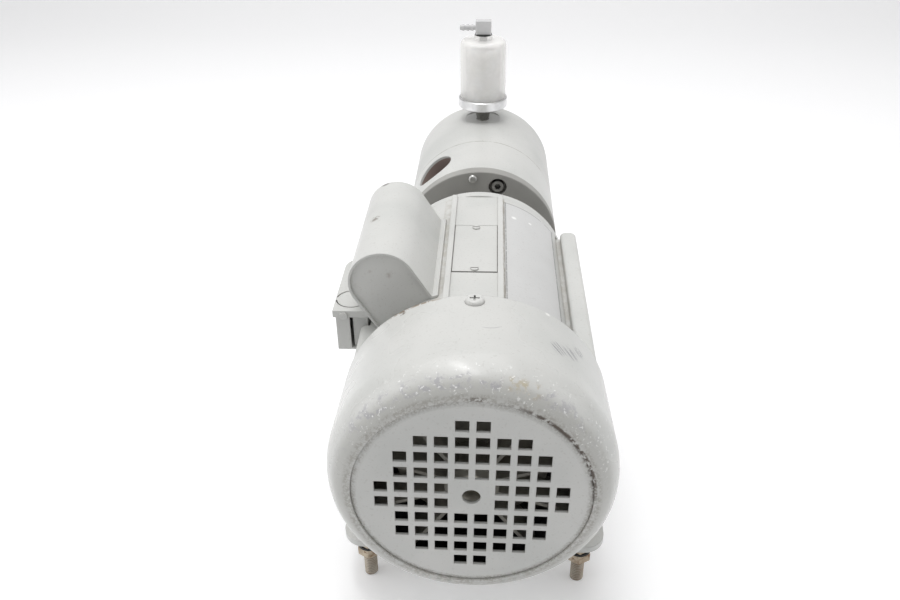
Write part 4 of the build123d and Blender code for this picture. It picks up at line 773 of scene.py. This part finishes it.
# rubber, plastic or felt as it left the mould: even colour, fine grain, dull; the real grain is
# finer, and this is 0.8 mm across so that it shows
plainPolymer = {
    "cloud": (60.0, 0.35, 0.7),
    "grainPerMetre": 1200.0,
    "grainDetail": 2.0,
    "grainDepth": 0.00004,
    "grainStrength": 0.3,
    "ior": 1.5,
    "scatter": 0.0,
    "scatterRadius": (1.0, 0.95, 0.9),
    "scatterScale": 0.012,
}
polymers = {
    "blackNitrileRubber": {"base": "#1D1D1D", "shade": "#262624", "roughness": 0.62},
    "redPolyurethane": {"base": "#9C3526", "shade": "#83291D", "roughness": 0.5},
    "darkPhenolic": {"base": "#242322", "shade": "#2F2D2B", "roughness": 0.45},
    "greyFanNylon": {"base": "#A9A69C", "shade": "#95928A", "roughness": 0.5},
    "greyElbowNylon": {"base": "#D3D3D3", "shade": "#C4C4C4", "roughness": 0.26},
    # pressed felt: matt, and light goes deep into it
    "creamFilterFelt": {"base": "#FFFCF7", "shade": "#FBF7F0", "roughness": 0.9, "scatter": 1.0},
}


def mouldedPolymer(name, look):
    material, tree = newMaterial(name)
    coords = addNode(tree, "TexCoord", out=3)
    cloud = noiseMask(tree, coords, *look["cloud"])
    colour = addNode(
        tree, "Mix", {0: cloud, 6: linear(look["base"]), 7: linear(look["shade"])}, out=2,
        data_type="RGBA")
    grain = addNode(
        tree, "TexNoise",
        {"Vector": coords, "Scale": look["grainPerMetre"], "Detail": look["grainDetail"]})
    bump = addNode(tree, "Bump", {
        "Strength": look["grainStrength"], "Distance": look["grainDepth"], "Height": grain})
    closeMaterial(tree, {
        "Base Color": colour, "Roughness": look["roughness"], "Normal": bump, "IOR": look["ior"],
        "Subsurface Weight": look["scatter"], "Subsurface Radius": look["scatterRadius"],
        "Subsurface Scale": look["scatterScale"]})
    return material


# thin clear polycarbonate, gone slightly milky: seen through square on, closing to grey at its edges
bowlLook = {
    "base": "#FDFCFA",
    "haze": 0.3,
    "edge": 0.8,
    "edgeBlend": 0.35,
    "edgeFrom": 0.25,
    "bloom": (80.0, 0.3, 0.8),
    "bloomStrength": 0.05,
    "roughness": 0.1,
    "ior": 1.58,
}


def clearMoulding(name, look):
    material, tree = newMaterial(name)
    coords = addNode(tree, "TexCoord", out=3)
    facing = addNode(tree, "LayerWeight", {"Blend": look["edgeBlend"]}, out=1)
    bloom = noiseMask(tree, coords, *look["bloom"])
    thick = addNode(
        tree, "MapRange", {0: facing, 1: look["edgeFrom"], 3: look["haze"], 4: look["edge"]})
    alpha = addNode(
        tree, "Math", {0: bloom, 1: look["bloomStrength"], 2: thick}, operation="MULTIPLY_ADD")
    closeMaterial(tree, {
        "Base Color": linear(look["base"]), "Roughness": look["roughness"], "Alpha": alpha,
        "IOR": look["ior"]})
    return material


materials = {"clearPolycarbonate": clearMoulding("clearPolycarbonate", bowlLook)}
for name, (own, marks) in enamels.items():
    materials[name] = greyEnamel(name, {**enamelLook, **own}, marks)
for name, own in metals.items():
    materials[name] = machinedMetal(name, {**plainMetal, **own})
for name, own in polymers.items():
    materials[name] = mouldedPolymer(name, {**plainPolymer, **own})

finishes = {
    "enamelled_steel": "greyEnamel",
    "enamelled_castings": "greyEnamel",
    "grille_enamel": "grilleEnamel",
    "dark_cast_face": "shadowedFaceEnamel",
    "label_blank": "printedLabelEnamel",
    "machined_aluminium": "turnedAluminium",
    "zinc_steel": "dulledZincSteel",
    "rusty_steel": "tarnishedZincSteel",
    "black_oxide": "blackOxideSteel",
    "bearing_steel": "groundBearingSteel",
    "laminations": "laminatedSteel",
    "copper_winding": "enamelledCopperWire",
    "dark_plastic": "darkPhenolic",
    "black_rubber": "blackNitrileRubber",
    "spider_rubber": "redPolyurethane",
    "fan_plastic": "greyFanNylon",
    "bowl_plastic": "clearPolycarbonate",
    "filter_felt": "creamFilterFelt",
    "nylon_grey": "greyElbowNylon",
    "iron_casting": "castIron",
}
ownFinishes = {
    "fan_shroud": "scuffedShroudEnamel",
    "fan_end_bell": "shadedBellEnamel",
    "capacitor_cover": "capacitorCoverEnamel",
    "lantern_housing": "lanternEnamel",
    "pump_body": "pumpBodyEnamel",
    "top_cover_plate": "coverPlateEnamel",
    "motor_frame": "ribbedFrameEnamel",
    "shroud_screws": "paintedOverScrew",
    "cover_screws": "paintedOverScrew",
    "locating_pin": "brightPinSteel",
    "inlet_nipple": "dulledNippleSteel",
    "tie_screws": "wornSocketScrewSteel",
}
for node, slot in slotOf.items():
    mesh = nodes[node].data
    mesh.materials.clear()
    mesh.materials.append(materials[ownFinishes.get(node, finishes[slot])])
print("finishes set on", len(nodes), "nodes")

# foot bolts and nuts: 5/16 in coarse thread as a true helix, and hexagons chamfered at the corners
boltFit = {
    "across": 0.1238,
    "along": 0.0762,
    "length": 0.0381,
    "crestRadius": 0.00397,
    "rootRadius": 0.00335,
    "pitch": 0.00141,
    "rootEnd": 0.12,                   # shares of a pitch at which the root ends and the crest runs
    "crestStart": 0.5,
    "crestEnd": 0.62,
    "sides": 20,
    "spareTurns": 3,
    "overrun": 0.0002,                 # how far the shank runs up into the head
    "boreClearance": 0.0001,
    "hexFlats": 0.0127,
    "flatCuts": 3,
    "headHeight": 0.0052,
    "nutHeight": 0.0066,
    "cornerChamfer": 0.0007,
    "chamferSegments": 2,
}
smoothBelow = radians(32)
touching = 1e-7  # points nearer than this are at one place


def newPiece(name, bm, material, node, body="root"):
    mesh = bpy.data.meshes.new(name)
    bm.to_mesh(mesh)
    bm.free()
    mesh.polygons.foreach_set("use_smooth", [True] * len(mesh.polygons))
    mesh.set_sharp_from_angle(angle=smoothBelow)
    mesh.materials.append(material)
    piece = bpy.data.objects.new(name, mesh)
    bpy.context.scene.collection.objects.link(piece)
    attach(piece, body)
    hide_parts(node)


def pour(source, target):
    # adds one bmesh to another and frees it
    mesh = bpy.data.meshes.new("scratch")
    source.to_mesh(mesh)
    source.free()
    target.from_mesh(mesh)
    bpy.data.meshes.remove(mesh)


def addThread(bm, spec):
    # one pitch of flank, crest and root, spun up the shank so that each turn meets the next
    pitch, crest, root = spec["pitch"], spec["crestRadius"], spec["rootRadius"]
    profile = [
        (root, 0.0), (root, spec["rootEnd"]), (crest, spec["crestStart"]), (crest, spec["crestEnd"]),
        (root, 1.0)]
    verts = [bm.verts.new((r, 0.0, (share - 1.0) * pitch)) for r, share in profile]
    edges = [bm.edges.new(pair) for pair in zip(verts, verts[1:])]
    turns = int(spec["length"] / pitch) + spec["spareTurns"]
    bmesh.ops.spin(
        bm, geom=verts + edges, cent=(0.0, 0.0, 0.0), axis=(0.0, 0.0, 1.0),
        dvec=(0.0, 0.0, pitch / spec["sides"]), angle=2 * pi * turns, steps=spec["sides"] * turns,
        use_merge=False, use_duplicate=False)
    bmesh.ops.remove_doubles(bm, verts=bm.verts, dist=touching * 100)
    for height, side in ((0.0, -1.0), (spec["length"] + spec["overrun"], 1.0)):
        bmesh.ops.bisect_plane(
            bm, geom=bm.verts[:] + bm.edges[:] + bm.faces[:], dist=touching,
            plane_co=(0.0, 0.0, height), plane_no=(0.0, 0.0, side), clear_outer=True)
    rim = [edge for edge in bm.edges if edge.is_boundary]
    bmesh.ops.holes_fill(bm, edges=rim, sides=0)
    bmesh.ops.recalc_face_normals(bm, faces=bm.faces)


def addHexagon(bm, spec, low, height, boreRadius=0.0):
    # a hexagon with a corner to each side; its outer corners are eased at both ends
    cornerRadius = spec["hexFlats"] / 3 ** 0.5
    loop = bmesh.ops.create_circle(bm, segments=6, radius=cornerRadius)["verts"]
    edges = list({edge for vert in loop for edge in vert.link_edges})
    if boreRadius:
        cut = bmesh.ops.subdivide_edges(bm, edges=edges, cuts=spec["flatCuts"])
        outer = [edge for edge in cut["geom"] if isinstance(edge, bmesh.types.BMEdge)]
        boreSides = 6 * (spec["flatCuts"] + 1)
        inner = bmesh.ops.create_circle(bm, segments=boreSides, radius=boreRadius)["verts"]
        outer += list({edge for vert in inner for edge in vert.link_edges})
        faces = bmesh.ops.bridge_loops(bm, edges=list(set(outer)))["faces"]
    else:
        faces = [bm.faces.new(loop)]
    grown = bmesh.ops.extrude_face_region(bm, geom=faces)["geom"]
    top = [item for item in grown if isinstance(item, bmesh.types.BMVert)]
    bmesh.ops.translate(bm, verts=top, vec=(0.0, 0.0, height))
    group = list({vert for face in faces for vert in face.verts} | set(top))
    clearOfBore = 0.8 * (spec["hexFlats"] / 2) ** 2
    rims = [edge for edge in {e for v in group for e in v.link_edges}
            if abs(edge.verts[0].co.z - edge.verts[1].co.z) < touching
            and len(edge.link_faces) == 2 and edge.calc_face_angle() > 1.0
            and edge.verts[0].co.length_squared > clearOfBore]
    bmesh.ops.bevel(
        bm, geom=rims, offset=spec["cornerChamfer"], offset_type="OFFSET",
        segments=spec["chamferSegments"], profile=0.5, material=-1, affect="EDGES")
    bmesh.ops.recalc_face_normals(bm, faces=bm.faces)
    bmesh.ops.translate(bm, verts=bm.verts, vec=(0.0, 0.0, low))


def spreadOverFeet(one, spec):
    # the same fastener at each of the four foot holes
    whole = bmesh.new()
    for x in (-spec["across"] / 2, spec["across"] / 2):
        for y in (-spec["along"] / 2, spec["along"] / 2):
            copy = one.copy()
            bmesh.ops.translate(copy, verts=copy.verts, vec=(x, y, 0.0))
            pour(copy, whole)
    one.free()
    return whole


def buildFootBolts(spec):
    bolt, shank = bmesh.new(), bmesh.new()
    addHexagon(bolt, spec, spec["length"], spec["headHeight"])
    addThread(shank, spec)
    pour(shank, bolt)
    newPiece(
        "threadedFootBolts", spreadOverFeet(bolt, spec), materials["tarnishedThreadSteel"],
        "foot_bolts")


def buildFootNuts(spec):
    # one nut above the foot and one below
    low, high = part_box("foot_nuts")
    nuts = bmesh.new()
    for bottom in (high.z - spec["nutHeight"], low.z):
        nut = bmesh.new()
        addHexagon(
            nut, spec, bottom, spec["nutHeight"], spec["crestRadius"] + spec["boreClearance"])
        pour(nut, nuts)
    newPiece(
        "chamferedFootNuts", spreadOverFeet(nuts, spec), materials["tarnishedZincSteel"],
        "foot_nuts")


buildFootBolts(boltFit)
buildFootNuts(boltFit)
print("foot bolts and nuts built")

bpy.context.view_layer.update()
